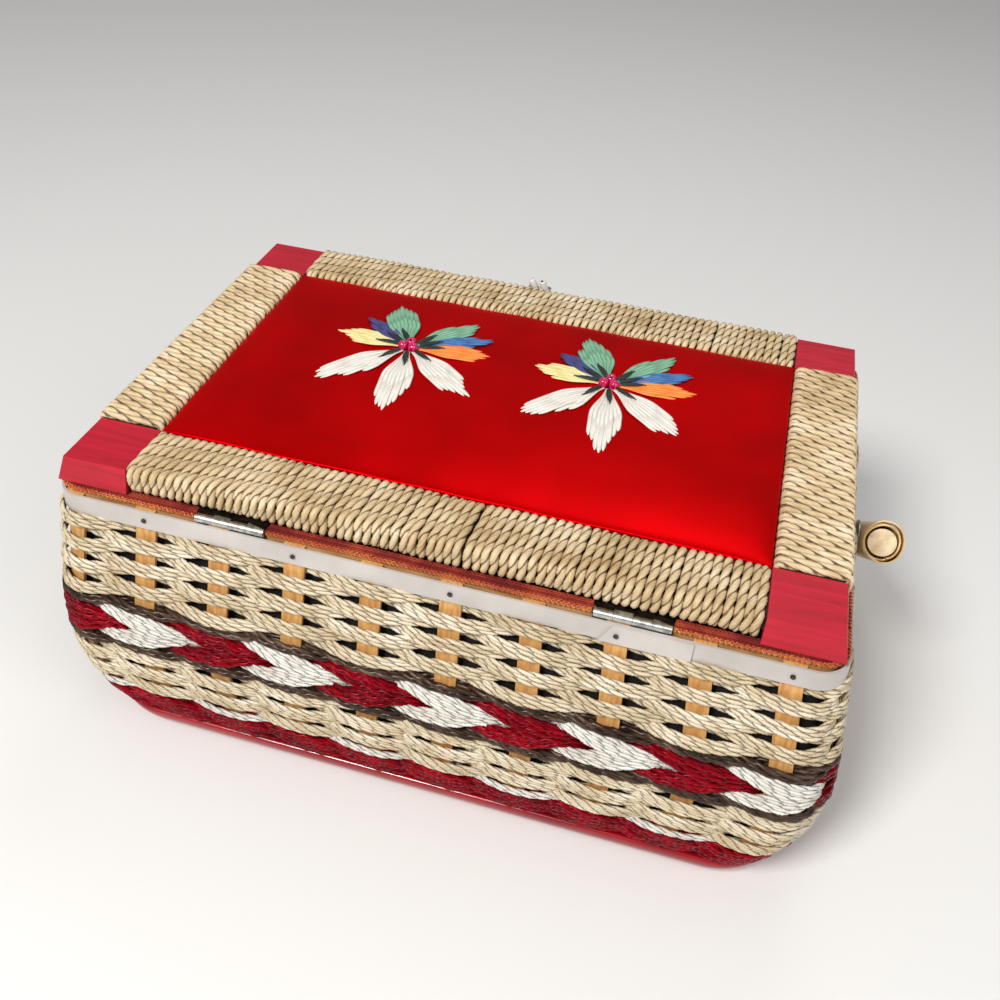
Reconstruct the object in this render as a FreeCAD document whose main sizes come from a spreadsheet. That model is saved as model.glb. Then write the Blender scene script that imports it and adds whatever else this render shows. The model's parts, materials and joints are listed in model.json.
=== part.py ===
import FreeCAD, Part
import Sketcher
import math
import os

V = FreeCAD.Vector
doc = FreeCAD.newDocument("wicker_sewing_box")

# Driving dimensions in millimetres, counts and plain ratios
DRIVERS = (
    # Lid frame: wooden rails with painted corner blocks
    ("lid_length", 267.0),
    ("lid_depth", 172.5),
    ("lid_thick", 9.0),
    ("lid_flare", 2.5),
    ("block_width", 24.0),
    # Cord wound round the rails
    ("cord_thick", 3.0),
    ("cord_proud", 2.0),
    ("cord_turns", 24),
    ("cord_gap", 0.6),
    # Inside of the lid
    ("board_thick", 2.5),
    ("lining_thick", 1.8),
    ("lining_length", 256.0),
    ("lining_depth", 156.0),
    ("lining_corner", 8.0),
    ("pad_crown", 10.0),
    ("pad_corner", 3.0),
    ("pad_shoulder", 38.0),
    # Basket wall, measured on the middle of the stakes
    ("rim_length", 273.2),
    ("rim_depth", 180.4),
    ("rim_corner", 9.0),
    ("foot_corner", 24.0),
    ("bulge", 8.6),
    ("bulge_low", 1.3),
    ("foot_draw", 4.9),
    ("draw_sharp", 8),
    # Rim
    ("rim_top", 123.0),
    ("hoop_height", 8.8),
    ("hoop_thick", 3.0),
    ("band_top", 121.2),
    ("band_height", 7.2),
    ("band_thick", 0.9),
    ("lap_length", 30.0),
    ("lap_place", -60.0),
    ("lap_slant", 4.0),
    ("braid_height", 1.2),
    ("braid_width", 5.0),
    ("nail_head", 1.8),
    ("nail_head_height", 0.5),
    ("nail_shank", 1.0),
    ("nail_bite", 2.2),
    # Stakes and woven rows
    ("stake_count", 32),
    ("stake_phase", 0.35),
    ("stake_width", 7.6),
    ("stake_thick", 1.4),
    ("bend_steps", 4),
    ("row_pitch", 4.95),
    ("row_thick", 2.4),
    ("upper_rows", 7),
    ("lower_rows", 5),
    ("brown_height", 3.8),
    ("arrow_height", 8.0),
    ("edging_height", 3.4),
    ("crimson_height", 8.2),
    ("crimson_rows", 2),
    ("weave_gap", 0.25),
    ("weave_flat", 1.2),
    # Base, foot hoop and lining of the basket
    ("base_thick", 9.0),
    ("foot_height", 10.9),
    ("foot_thick", 3.0),
    ("liner_thick", 1.6),
    # Hinges
    ("hinge_length", 25.4),
    ("hinge_place", 69.7),
    ("hinge_outer", 3.0),
    ("hinge_pin", 1.4),
    ("pin_play", 0.05),
    ("leaf_thick", 0.7),
    ("leaf_width", 10.0),
    ("leaf_drop", 7.6),
    ("knuckle_count", 4),
    ("knuckle_gap", 0.15),
    # Carrying handle
    ("handle_span", 308.0),
    ("handle_splay", 7.0),
    ("handle_reach", 124.0),
    ("handle_stub", 12.0),
    ("handle_bend", 38.0),
    ("handle_outer", 16.0),
    ("handle_core", 10.6),
    ("handle_slope", 39.0),
    ("pivot_back", -10.2),
    ("pivot_height", 94.5),
    ("bolt_shank", 4.0),
    ("bolt_head", 9.0),
    ("bolt_head_height", 2.4),
    ("nut_width", 8.0),
    ("nut_height", 3.0),
    ("washer_width", 14.0),
    ("washer_thick", 0.4),
    # Latch
    ("latch_place", 3.2),
    ("knob_head", 8.0),
    ("knob_neck", 4.6),
    ("knob_shank", 3.0),
    ("knob_reach", 8.5),
    ("tube_outer", 3.2),
    ("loop_width", 5.6),
    ("loop_bend", 2.1),
    ("loop_rise", 1.2),
    ("loop_spread", 2.6),
    ("loop_waist", 1.9),
    ("loop_lean", 4.8),
    ("loop_clear", 0.6),
    ("staple_wire", 1.0),
    ("staple_drop", 0.8),
    # Clearances
    ("seat_gap", 0.3),
    ("fit_gap", 0.1),
)

sizes = doc.addObject("Spreadsheet::Sheet", "Sizes")
for line, (name, value) in enumerate(DRIVERS, 1):
    sizes.set(f"A{line}", name)
    sizes.set(f"B{line}", str(value))
    sizes.setAlias(f"B{line}", name)
doc.recompute()


def size(name):
    return float(sizes.get(name))


parts = []


def named(obj, label):
    obj.Label = label
    parts.append(obj)
    return obj


def formed(label, shape, place=None):
    obj = doc.addObject("Part::Feature", label)
    obj.Shape = shape
    obj.Placement = place or FreeCAD.Placement()
    return named(obj, label)


# Heights that several pieces share
rim_top = size("rim_top")
band_top = size("band_top")
band_bottom = band_top - size("band_height")
lid_bottom = rim_top + size("braid_height") + size("seat_gap")
lid_top = lid_bottom + size("lid_thick")
stake_half = size("stake_thick") / 2
weave_gap = size("weave_gap")
fit_gap = size("fit_gap")
seat_gap = size("seat_gap")

# The same heights as rules for bound objects
LID_BOTTOM = "(Sizes.rim_top + Sizes.braid_height + Sizes.seat_gap)"
LID_TOP = f"({LID_BOTTOM} + Sizes.lid_thick)"


# The wall is a rounded rectangle that bulges below the rim and draws in at the foot
def wall_outline(z):
    depth = max(0.0, (band_top - z) / band_top)
    swell = size("bulge") * math.sin(math.pi * depth ** size("bulge_low"))
    outset = swell - size("foot_draw") * depth ** size("draw_sharp")
    corner = size("rim_corner") + (size("foot_corner") - size("rim_corner")) * depth
    return size("rim_length") / 2 + outset, size("rim_depth") / 2 + outset, corner


def wall_station(share, z):
    """Point and outward normal at a share of the way round, from the middle of the back."""
    half_x, half_y, corner = wall_outline(z)
    turn = math.pi / 2 * corner
    flat_x = half_x - corner
    flat_y = half_y - corner
    runs = (flat_x, turn, 2 * flat_y, turn, 2 * flat_x, turn, 2 * flat_y, turn, flat_x)
    left = share % 1.0 * sum(runs)
    point = V(0, half_y, z)
    heading = math.pi
    for count, run in enumerate(runs):
        step = min(left, run)
        if count % 2:
            centre = point + V(-math.sin(heading), math.cos(heading), 0) * corner
            heading += step / corner
            point = centre + V(math.sin(heading), -math.cos(heading), 0) * corner
        else:
            point = point + V(math.cos(heading), math.sin(heading), 0) * step
        left -= step
        if left <= 0:
            break
    return point, V(math.sin(heading), -math.cos(heading), 0)


def rounded_outline(half_x, half_y, corner, z):
    """Closed wire of four straight sides and four corner arcs."""
    edges = []
    bow = corner * math.sqrt(0.5)
    for sx, sy in ((1, 1), (-1, 1), (-1, -1), (1, -1)):
        centre = V(sx * (half_x - corner), sy * (half_y - corner), z)
        on_x = centre + V(sx * corner, 0, 0)
        on_y = centre + V(0, sy * corner, 0)
        start, end = (on_x, on_y) if sx * sy > 0 else (on_y, on_x)
        edges.append(Part.Arc(start, centre + V(sx * bow, sy * bow, 0), end).toShape())
    ring = []
    for here, after in zip(edges, edges[1:] + edges[:1]):
        ring += [here, Part.makeLine(here.Vertexes[-1].Point, after.Vertexes[0].Point)]
    return Part.Wire(ring)


def wall_block(levels, offset):
    """Solid that fills the wall's outline, moved out by offset, between the levels."""
    wires = []
    for z in levels:
        half_x, half_y, corner = wall_outline(z)
        wires.append(rounded_outline(half_x + offset, half_y + offset, corner + offset, z))
    return Part.makeLoft(wires, True, True)


def wall_ring(levels, outer, inner):
    return wall_block(levels, outer).cut(wall_block(levels, inner))


FLAT = 1e-6


def flat_faces(corners):
    """One face through four corners that lie in a plane, or two triangles."""
    first, second, third, fourth = corners
    normal = (second - first).cross(third - first)
    off_plane = abs((fourth - first).dot(normal))
    if off_plane < FLAT * normal.Length:
        groups = (corners,)
    else:
        groups = ((first, second, third), (first, third, fourth))
    return [Part.Face(Part.makePolygon(list(group) + [group[0]])) for group in groups]


def faceted(sections, closed):
    """Solid with flat faces through sections that run up one side and down the other."""
    faces = []
    count = len(sections[0])
    pairs = list(zip(sections, sections[1:]))
    if closed:
        pairs.append((sections[-1], sections[0]))
    else:
        for end in (sections[0], sections[-1]):
            for rung in range(count // 2 - 1):
                faces += flat_faces((end[rung], end[rung + 1], end[-rung - 2], end[-rung - 1]))
    for here, there in pairs:
        for index in range(count):
            after = (index + 1) % count
            faces += flat_faces((here[index], here[after], there[after], there[index]))
    solid = Part.makeSolid(Part.makeShell(faces))
    if solid.Volume < 0:
        solid.reverse()
    return solid


def wall_section(share, levels, outer, inner):
    """Section of a layer on the wall: up its inner face and down its outer one."""
    stations = [wall_station(share, z) for z in levels]
    up = [point + normal * inner for point, normal in stations]
    down = [point + normal * outer for point, normal in reversed(stations)]
    return up + down


SIDES = ("back", "left", "front", "right")

# Heights of the woven rows, worked down from the rim band
row_pitch = size("row_pitch")
upper_rows = int(size("upper_rows"))
lower_rows = int(size("lower_rows"))
crimson_rows = int(size("crimson_rows"))
upper_top = band_bottom - fit_gap
brown_upper_top = upper_top - upper_rows * row_pitch
arrow_top = brown_upper_top - size("brown_height")
brown_lower_top = arrow_top - 2 * size("arrow_height")
lower_top = brown_lower_top - size("brown_height")
edging_top = lower_top - lower_rows * row_pitch
crimson_top = edging_top - size("edging_height")

# Handle pivots, hinge axis and latch place
pivot = V(0, size("pivot_back"), size("pivot_height"))
knuckle = size("hinge_outer") / 2
hoop_outer = -stake_half - fit_gap
hinge_y = size("rim_depth") / 2 + hoop_outer - fit_gap + size("leaf_thick")
hinge_z = lid_bottom - fit_gap / 2 - knuckle
nail_z = band_bottom + size("band_height") / 2
rim_front = -size("rim_depth") / 2

# Room for the two handle bolts through the end walls
bolt_bores = []
for way in (-1, 1):
    bore = size("bolt_shank") / 2 + fit_gap
    bolt_bores.append(Part.makeCylinder(bore, size("handle_span"), pivot, V(way, 0, 0)))
bolt_cutter = Part.makeCompound(bolt_bores)


# Base board and the hoop round its edge
board_levels = (0.0, size("base_thick"))
formed("base_board", wall_block(board_levels, -stake_half - weave_gap))
foot_levels = (0.0, size("foot_height"))
foot_inner = stake_half + weave_gap
formed("foot_hoop", wall_ring(foot_levels, foot_inner + size("foot_thick"), foot_inner))


# Stakes: flat splints that follow the bulge from the foot to the rim
stake_count = int(size("stake_count"))
stake_levels = (
    0.0,
    size("foot_height"),
    crimson_top - size("crimson_height"),
    crimson_top,
    edging_top,
    edging_top + 2 * row_pitch,
    lower_top,
    arrow_top - size("arrow_height"),
    brown_upper_top,
    band_bottom,
    band_top,
)


def stake_share(index):
    return (index + size("stake_phase")) / stake_count


def turn_between(share_a, share_b, z):
    normal_a = wall_station(share_a, z)[1]
    normal_b = wall_station(share_b, z)[1]
    return normal_a.getAngle(normal_b)


BENT_STAKE = math.radians(1)


def across_stake(index, reach):
    """Shares from one edge of a stake to the other, with more of them where it bends round a corner."""
    half = reach / (2 * (size("rim_length") + size("rim_depth")))
    middle = stake_share(index)
    bent = turn_between(middle - half, middle + half, 0.0) > BENT_STAKE
    steps = int(size("bend_steps")) if bent else 1
    return [middle + half * (2 * step / steps - 1) for step in range(steps + 1)]


def stake_solid(index):
    """Splint across its share of the wall; one that stands on a corner bends with it."""
    shares = across_stake(index, size("stake_width") / 2)
    sections = []
    for z in stake_levels:
        stations = [wall_station(share, z) for share in shares]
        inner = [point - normal * stake_half for point, normal in stations]
        outer = [point + normal * stake_half for point, normal in reversed(stations)]
        sections.append(inner + outer)
    return faceted(sections, False)


def nail_axis(index):
    """Place on the stake's face at nail height, and the way out of the wall."""
    return wall_station(stake_share(index), nail_z)


def square_pin(point, normal, near, far, width):
    """Square pin from near to far along the wall's normal."""
    up = V(0, 0, 1)
    pin = Part.makeBox(width, width, far - near, V(-width / 2, -width / 2, near))
    pin.Placement = FreeCAD.Placement(point, FreeCAD.Rotation(up.cross(normal), up, normal, "ZXY"))
    return pin


HEAD_FLATS = 8


def nail_head(point, normal, near, far):
    """Head of a nail, with as many flats as its small size needs."""
    up = V(0, 0, 1)
    side = up.cross(normal)
    corners = []
    for step in range(HEAD_FLATS + 1):
        angle = 2 * math.pi * step / HEAD_FLATS
        way = side * math.cos(angle) + up * math.sin(angle)
        corners.append(point + normal * near + way * (size("nail_head") / 2))
    return Part.Face(Part.makePolygon(corners)).extrude(normal * (far - near))


def is_lapped(index):
    point, normal = nail_axis(index)
    within = size("lap_place") - size("lap_length") < point.x < size("lap_place")
    return within and normal.y > 0


nailed_stakes = range(0, stake_count, 2)
nail_reach = hoop_outer - size("nail_bite")
band_inner = stake_half + fit_gap
band_outer = band_inner + size("band_thick")
nail_bores = []
nail_solids = []
for index in nailed_stakes:
    point, normal = nail_axis(index)
    face = band_outer + (size("band_thick") if is_lapped(index) else 0.0) + 2 * fit_gap
    tip = face + size("nail_head_height")
    shank = square_pin(point, normal, nail_reach, face, size("nail_shank"))
    nail_solids.append(shank.fuse(nail_head(point, normal, face, tip)))
    bore = size("nail_shank") + 2 * size("pin_play")
    nail_bores.append(square_pin(point, normal, nail_reach - fit_gap, tip, bore))
formed("rim_nails", Part.makeCompound(nail_solids))
nail_cutter = Part.makeCompound(nail_bores)


def stake_side(index):
    point, normal = wall_station(stake_share(index), band_top)
    if abs(normal.y) >= abs(normal.x):
        return "back" if normal.y > 0 else "front"
    return "left" if normal.x < 0 else "right"


for side in SIDES:
    group = []
    for index in range(stake_count):
        if stake_side(index) != side:
            continue
        solid = stake_solid(index)
        if index in nailed_stakes:
            solid = solid.cut(nail_cutter)
        if side in ("left", "right"):
            solid = solid.cut(bolt_cutter)
        group.append(solid)
    formed(f"wall_stakes_{side}", Part.makeCompound(group))


# Woven rows: each weaver is one closed ring that passes in front of and behind the stakes
weave_out = stake_half + weave_gap + size("row_thick") / 2
flat_reach = size("stake_width") / 2 + size("weave_flat")
SHARP_TURN = math.radians(15)
CORNER_STATIONS = 3
TWINE_REACH = 0.3


def ring_of(stations):
    """Weaver as one closed ring through stations that give its share, place and edges."""
    thick = size("row_thick") / 2
    sections = []
    for share, out, high, low in stations:
        sections.append(wall_section(share, (low, high), out + thick, out - thick))
    return faceted(sections, True)


def plain_row(top, height, first_side):
    """Weaver in front of every other stake and behind the ones between."""
    bottom = top - height + weave_gap
    stations = []
    for index in range(stake_count):
        out = weave_out * first_side * (1 if index % 2 == 0 else -1)
        shares = across_stake(index, flat_reach)
        stations += [(share, out, top, bottom) for share in shares]
        leave = shares[-1]
        gap = across_stake(index + 1, flat_reach)[0] - leave
        if turn_between(leave, leave + gap, top) > SHARP_TURN:
            for step in range(1, CORNER_STATIONS + 1):
                part = step / (CORNER_STATIONS + 1)
                stations.append((leave + gap * part, out * (1 - 2 * part), top, bottom))
    return ring_of(stations)


def twined_row(top, height, first_side, twist):
    """One of two weavers that change places between the stakes, one above the other."""
    bottom = top - height + weave_gap
    middle = (top + bottom) / 2
    half_gap = weave_gap / 2
    stations = []
    for index in range(stake_count):
        front = first_side * (1 if index % 2 == 0 else -1)
        shares = across_stake(index, flat_reach)
        stations += [(share, weave_out * front, top, bottom) for share in shares]
        leave = shares[-1]
        gap = across_stake(index + 1, flat_reach)[0] - leave
        over = front * twist < 0
        low, high = (middle + half_gap, top) if over else (bottom, middle - half_gap)
        stations.append((leave + gap * TWINE_REACH, weave_out * front, high, low))
        if turn_between(leave, leave + gap, top) > SHARP_TURN:
            stations.append((leave + gap / 2, 0.0, high, low))
        stations.append((leave + gap * (1 - TWINE_REACH), -weave_out * front, high, low))
    return ring_of(stations)


def hugging_pair(top, height):
    """Twined pair of one colour: a band on each face of the stakes."""
    bottom = top - height + weave_gap
    near = stake_half + weave_gap
    far = near + size("row_thick")
    levels = (bottom, top)
    return [wall_ring(levels, far, near), wall_ring(levels, -near, -far)]


for row in range(upper_rows):
    ring = plain_row(upper_top - row * row_pitch, row_pitch, -1 if row % 2 == 0 else 1)
    formed(f"weave_upper_{row + 1}", ring.cut(bolt_cutter))
formed("twine_brown_upper", Part.makeCompound(hugging_pair(brown_upper_top, size("brown_height"))))
for row, (level, twist) in enumerate((("upper", 1), ("lower", -1))):
    top = arrow_top - row * size("arrow_height")
    formed(f"arrow_white_{level}", twined_row(top, size("arrow_height"), 1, twist))
    formed(f"arrow_crimson_{level}", twined_row(top, size("arrow_height"), -1, twist))
formed("twine_brown_lower", Part.makeCompound(hugging_pair(brown_lower_top, size("brown_height"))))
for row in range(lower_rows):
    ring = plain_row(lower_top - row * row_pitch, row_pitch, 1 if row % 2 == 0 else -1)
    formed(f"weave_lower_{row + 1}", ring)
formed("edging_white", plain_row(edging_top, size("edging_height"), 1 if lower_rows % 2 == 0 else -1))
crimson = []
for row in range(crimson_rows):
    crimson += hugging_pair(crimson_top - row * size("crimson_height"), size("crimson_height"))
formed("twine_crimson", Part.makeCompound(crimson))


# Lining of the basket: four covered card panels and a floor card
liner_outer = min(-weave_out - size("row_thick") / 2, hoop_outer - size("hoop_thick")) - seat_gap
liner_inner = liner_outer - size("liner_thick")
liner_levels = (size("base_thick"),) + stake_levels[2:-1] + (rim_top,)
rim_half_x, rim_half_y, rim_corner = wall_outline(band_top)
rim_turn = math.pi / 2 * rim_corner
rim_girth = 4 * (rim_half_x + rim_half_y - 2 * rim_corner + rim_turn)
first_corner = (rim_half_x - rim_corner + rim_turn / 2) / rim_girth
liner_ends = {
    "back": (-first_corner, first_corner),
    "left": (first_corner, 0.5 - first_corner),
    "front": (0.5 - first_corner, 0.5 + first_corner),
    "right": (0.5 + first_corner, 1 - first_corner),
}


def liner_panel(start, end):
    """Card panel from the middle of one corner to the middle of the next."""
    steps = int(size("bend_steps"))
    joint = seat_gap / 2 / rim_girth
    bend = size("foot_corner") / rim_girth / steps
    near = [start + joint + bend * step for step in range(steps + 1)]
    far = [end - joint - bend * step for step in range(steps, -1, -1)]
    sections = [wall_section(share, liner_levels, liner_outer, liner_inner) for share in near + far]
    return faceted(sections, False)


for side, (start, end) in liner_ends.items():
    panel = liner_panel(start, end)
    formed(f"liner_{side}", panel.cut(bolt_cutter) if side in ("left", "right") else panel)
floor_levels = (size("base_thick"), size("base_thick") + size("liner_thick"))
formed("liner_floor", wall_block(floor_levels, liner_inner - seat_gap))


# Rim: wooden hoop inside the stakes, vinyl band outside them, braid on top
def knob_bore(width):
    reach = size("knob_reach")
    start = V(size("latch_place"), rim_front - reach, nail_z)
    return Part.makeCylinder(width / 2, 2 * reach, start, V(0, 1, 0))


def hinge_span(way, low_y, high_y, low_z, high_z, ease):
    long = size("hinge_length") + 2 * ease
    corner = V(way * size("hinge_place") - long / 2, low_y, low_z)
    return Part.makeBox(long, high_y - low_y, high_z - low_z, corner)


knob_cutter = knob_bore(size("knob_shank") + 2 * size("pin_play"))
leaf_bottom = hinge_z - size("leaf_drop")
hoop_levels = (rim_top - size("hoop_height"), band_top, rim_top)
hoop = wall_ring(hoop_levels, hoop_outer, hoop_outer - size("hoop_thick"))
braid_levels = (rim_top, rim_top + size("braid_height"))
braid = wall_ring(braid_levels, hoop_outer, hoop_outer - size("braid_width"))
for way in (-1, 1):
    near = hinge_y - knuckle - fit_gap
    far = hinge_y + knuckle + fit_gap
    hoop = hoop.cut(hinge_span(way, near, far, leaf_bottom - fit_gap, lid_bottom, seat_gap))
    braid = braid.cut(hinge_span(way, 0, far, rim_top - fit_gap, lid_bottom, seat_gap))
formed("inner_rim_hoop", hoop.cut(nail_cutter).cut(knob_cutter))
formed("gimp_braid", braid)


def lap_tail():
    """Outer end of the band where it overlaps itself, with its slanted cut."""
    band_levels = (band_bottom, band_top)
    layer = wall_ring(band_levels, band_outer + size("band_thick"), band_outer)
    right = size("lap_place")
    left = right - size("lap_length")
    slant = size("lap_slant")
    plan = (
        V(right, 0, band_bottom),
        V(right - slant, 0, band_top),
        V(left, 0, band_top),
        V(left, 0, band_bottom),
        V(right, 0, band_bottom),
    )
    cutter = Part.Face(Part.makePolygon(plan)).extrude(V(0, size("rim_depth"), 0))
    return layer.common(cutter)


band = wall_ring((band_bottom, band_top), band_outer, band_inner).fuse(lap_tail()).removeSplitter()
formed("rim_band", band.cut(nail_cutter).cut(knob_cutter))


# Objects that are bound to the sheet
def bound(kind, name, **rules):
    obj = doc.addObject("Part::" + kind, name)
    for key, rule in rules.items():
        obj.setExpression(key, rule)
    return obj


def set_place(obj, x="0", y="0", z="0"):
    for axis, rule in (("x", x), ("y", y), ("z", z)):
        obj.setExpression(f"Placement.Base.{axis}", rule)
    return obj


def bound_box(name, x, y, z):
    """Box between two rules on each axis."""
    obj = bound("Box", name)
    for prop, (low, high) in (("Length", x), ("Width", y), ("Height", z)):
        obj.setExpression(prop, f"({high}) - ({low})")
    return set_place(obj, x[0], y[0], z[0])


# Lid frame: long rails lie over the short ones in half-lapped corner blocks
HALF_X = "Sizes.lid_length / 2"
HALF_Y = "Sizes.lid_depth / 2"
REACH_X = f"{HALF_X} + 2 * Sizes.lid_flare"
REACH_Y = f"{HALF_Y} + 2 * Sizes.lid_flare"
INNER_X = f"{HALF_X} - Sizes.block_width"
INNER_Y = f"{HALF_Y} - Sizes.block_width"
LAP = f"{LID_BOTTOM} + Sizes.lid_thick / 2"
BAR_LOW = f"{LID_BOTTOM} + Sizes.cord_thick + Sizes.fit_gap"
BAR_HIGH = f"{LID_TOP} - Sizes.cord_thick + Sizes.cord_proud"
BAR_IN = "Sizes.cord_thick + Sizes.fit_gap"
BAR_OUT = "Sizes.cord_thick - Sizes.cord_proud"


def minus(rule):
    return f"-({rule})"


def lid_blank(name):
    """Whole lid as a frustum that widens towards its underside."""
    blank = bound(
        "Wedge",
        name,
        Xmin=minus(f"{HALF_X} + Sizes.lid_flare"),
        Xmax=f"{HALF_X} + Sizes.lid_flare",
        Zmin=minus(f"{HALF_Y} + Sizes.lid_flare"),
        Zmax=f"{HALF_Y} + Sizes.lid_flare",
        X2min=minus(HALF_X),
        X2max=HALF_X,
        Z2min=minus(HALF_Y),
        Z2max=HALF_Y,
        Ymin="0 * Sizes.lid_thick",
        Ymax="Sizes.lid_thick",
    )
    blank.Placement = FreeCAD.Placement(V(), FreeCAD.Rotation(V(1, 0, 0), 90))
    blank.setExpression("Placement.Base.z", LID_BOTTOM)
    return blank


def rail(label, boxes):
    """Bar and its two end blocks, trimmed to the lid's outline."""
    body = doc.addObject("Part::MultiFuse", label + "_bar")
    body.Shapes = boxes
    trimmed = doc.addObject("Part::MultiCommon", label)
    trimmed.Shapes = [body, lid_blank(label + "_blank")]
    return named(trimmed, label)


def span(low, high, way):
    return (low, high) if way > 0 else (minus(high), minus(low))


for label, way in (("back", 1), ("front", -1)):
    name = f"lid_rail_{label}"
    across = span(f"{INNER_Y} + {BAR_IN}", f"{HALF_Y} - ({BAR_OUT})", way)
    block = span(INNER_Y, REACH_Y, way)
    boxes = [bound_box(name + "_middle", (minus(INNER_X), INNER_X), across, (BAR_LOW, BAR_HIGH))]
    for end in (-1, 1):
        along = span(INNER_X, REACH_X, end)
        boxes.append(bound_box(f"{name}_block_{end + 2}", along, block, (LAP, LID_TOP)))
    rail(name, boxes)
for label, way in (("left", -1), ("right", 1)):
    name = f"lid_rail_{label}"
    across = span(f"{INNER_X} + {BAR_IN}", f"{HALF_X} - ({BAR_OUT})", way)
    block = span(INNER_X, REACH_X, way)
    boxes = [bound_box(name + "_middle", across, (minus(INNER_Y), INNER_Y), (BAR_LOW, BAR_HIGH))]
    for end in (-1, 1):
        along = span(INNER_Y, REACH_Y, end)
        boxes.append(bound_box(f"{name}_block_{end + 2}", block, along, (LID_BOTTOM, LAP)))
    rail(name, boxes)


# Cord wound round each rail between its corner blocks, as one unbroken flattened tube
CORD_TOP = 0.56


def winding_section(corner, lean, place, width):
    """Corners of the cord's section, wide where it lies on the bar and narrower on its back."""
    points = []
    for lift, side in ((0.0, -0.5), (0.0, 0.5), (1.0, 0.5 * CORD_TOP), (1.0, -0.5 * CORD_TOP)):
        away = corner + lean * (fit_gap / 2 + lift * size("cord_thick"))
        points.append(V(place + side * width, away.x, away.y))
    return points


def spread(points):
    """Points at even steps along a run of straight lines."""
    steps = 12
    filled = []
    for here, after in zip(points, points[1:]):
        filled += [here + (after - here) * (step / steps) for step in range(steps)]
    return filled


def least_gap(near, far):
    return min(here.distanceToPoint(there) for here in spread(near) for there in spread(far))


def winding(label, length, half_depth, turned):
    """Winding on a bar that runs along X, then turned to its side of the lid.

    Each turn goes square over the bar and moves on to the next along the underside.
    """
    turns = int(size("cord_turns"))
    low = lid_bottom + size("cord_thick") + fit_gap
    high = lid_top - size("cord_thick") + size("cord_proud")
    outer = half_depth - size("cord_thick") + size("cord_proud")
    inner = half_depth - size("block_width") + size("cord_thick") + fit_gap
    straight = V(size("cord_thick"), 0)
    under = V(0, -1)
    turn_path = (
        (V(inner, low) + straight, under),
        (V(inner, low), V(-1, -1)),
        (V(inner, high), V(-1, 1)),
        (V(outer, high), V(1, 1)),
        (V(outer, low), V(1, -1)),
        (V(outer, low) - straight, under),
    )
    pitch = length / turns
    width = pitch - size("cord_gap")
    sections = []
    for turn in range(turns):
        place = -length / 2 + pitch * (turn + 0.5)
        sections += [winding_section(corner, lean, place, width) for corner, lean in turn_path]
    cord = faceted(sections, False)
    count = len(turn_path)
    right_edge = [points[1] for points in sections[: count + 1]]
    left_edge = [points[0] for points in sections[count : 2 * count + 1]]
    print(label, "turns", turns, "least gap to itself", round(least_gap(right_edge, left_edge), 2))
    formed(label, cord, FreeCAD.Placement(V(), FreeCAD.Rotation(V(0, 0, 1), turned)))


long_run = size("lid_length") - 2 * size("block_width")
short_run = size("lid_depth") - 2 * size("block_width")
winding("rail_winding_back", long_run, size("lid_depth") / 2, 0)
winding("rail_winding_left", short_run, size("lid_length") / 2, 90)
winding("rail_winding_front", long_run, size("lid_depth") / 2, 180)
winding("rail_winding_right", short_run, size("lid_length") / 2, 270)


# Flat panels of the lid
def origin_plane(body, role):
    return next(item for item in body.Origin.OriginFeatures if item.Role == role)


def new_sketch(body, name, role):
    sketch = body.newObject("Sketcher::SketchObject", name)
    sketch.AttachmentSupport = (origin_plane(body, role), [""])
    sketch.MapMode = "FlatFace"
    return sketch


SKETCH_START = 10.0


def centred_rectangle(sketch, wide, deep):
    """Rectangle about the sketch's origin, its two sizes bound to rules."""
    corners = (V(-1, -1), V(1, -1), V(1, 1), V(-1, 1))
    for here, after in zip(corners, corners[1:] + corners[:1]):
        sketch.addGeometry(Part.LineSegment(here * SKETCH_START, after * SKETCH_START))
    for line in range(4):
        sketch.addConstraint(Sketcher.Constraint("Coincident", line, 2, (line + 1) % 4, 1))
        sketch.addConstraint(Sketcher.Constraint("Vertical" if line % 2 else "Horizontal", line))
    sketch.addConstraint(Sketcher.Constraint("Symmetric", 0, 1, 1, 2, -1, 1))
    across = sketch.addConstraint(Sketcher.Constraint("DistanceX", 0, 1, 0, 2, 2 * SKETCH_START))
    up = sketch.addConstraint(Sketcher.Constraint("DistanceY", 1, 1, 1, 2, 2 * SKETCH_START))
    sketch.setExpression(f"Constraints[{across}]", wide)
    sketch.setExpression(f"Constraints[{up}]", deep)


def panel(label, wide, deep, thick, z, corner):
    """Board with rounded upright corners."""
    body = doc.addObject("PartDesign::Body", label)
    sketch = new_sketch(body, label + "_plan", "XY_Plane")
    centred_rectangle(sketch, wide, deep)
    pad = body.newObject("PartDesign::Pad", label + "_pad")
    pad.Profile = sketch
    pad.setExpression("Length", thick)
    doc.recompute()
    upright = [
        f"Edge{count}"
        for count, edge in enumerate(pad.Shape.Edges, 1)
        if abs(edge.Vertexes[0].Z - edge.Vertexes[-1].Z) > 1e-6
    ]
    fillet = body.newObject("PartDesign::Fillet", label + "_corners")
    fillet.Base = (pad, upright)
    fillet.setExpression("Radius", corner)
    body.Tip = fillet
    set_place(body, z=z)
    return named(body, label)


OPEN_X = "Sizes.lid_length - 2 * Sizes.block_width - 2 * Sizes.seat_gap"
OPEN_Y = "Sizes.lid_depth - 2 * Sizes.block_width - 2 * Sizes.seat_gap"
panel("lid_board", OPEN_X, OPEN_Y, "Sizes.board_thick", LID_BOTTOM, "Sizes.pad_corner")
panel(
    "lid_lining",
    "Sizes.lining_length",
    "Sizes.lining_depth",
    "Sizes.lining_thick",
    f"{LID_BOTTOM} - Sizes.lining_thick",
    "Sizes.lining_corner",
)


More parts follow.
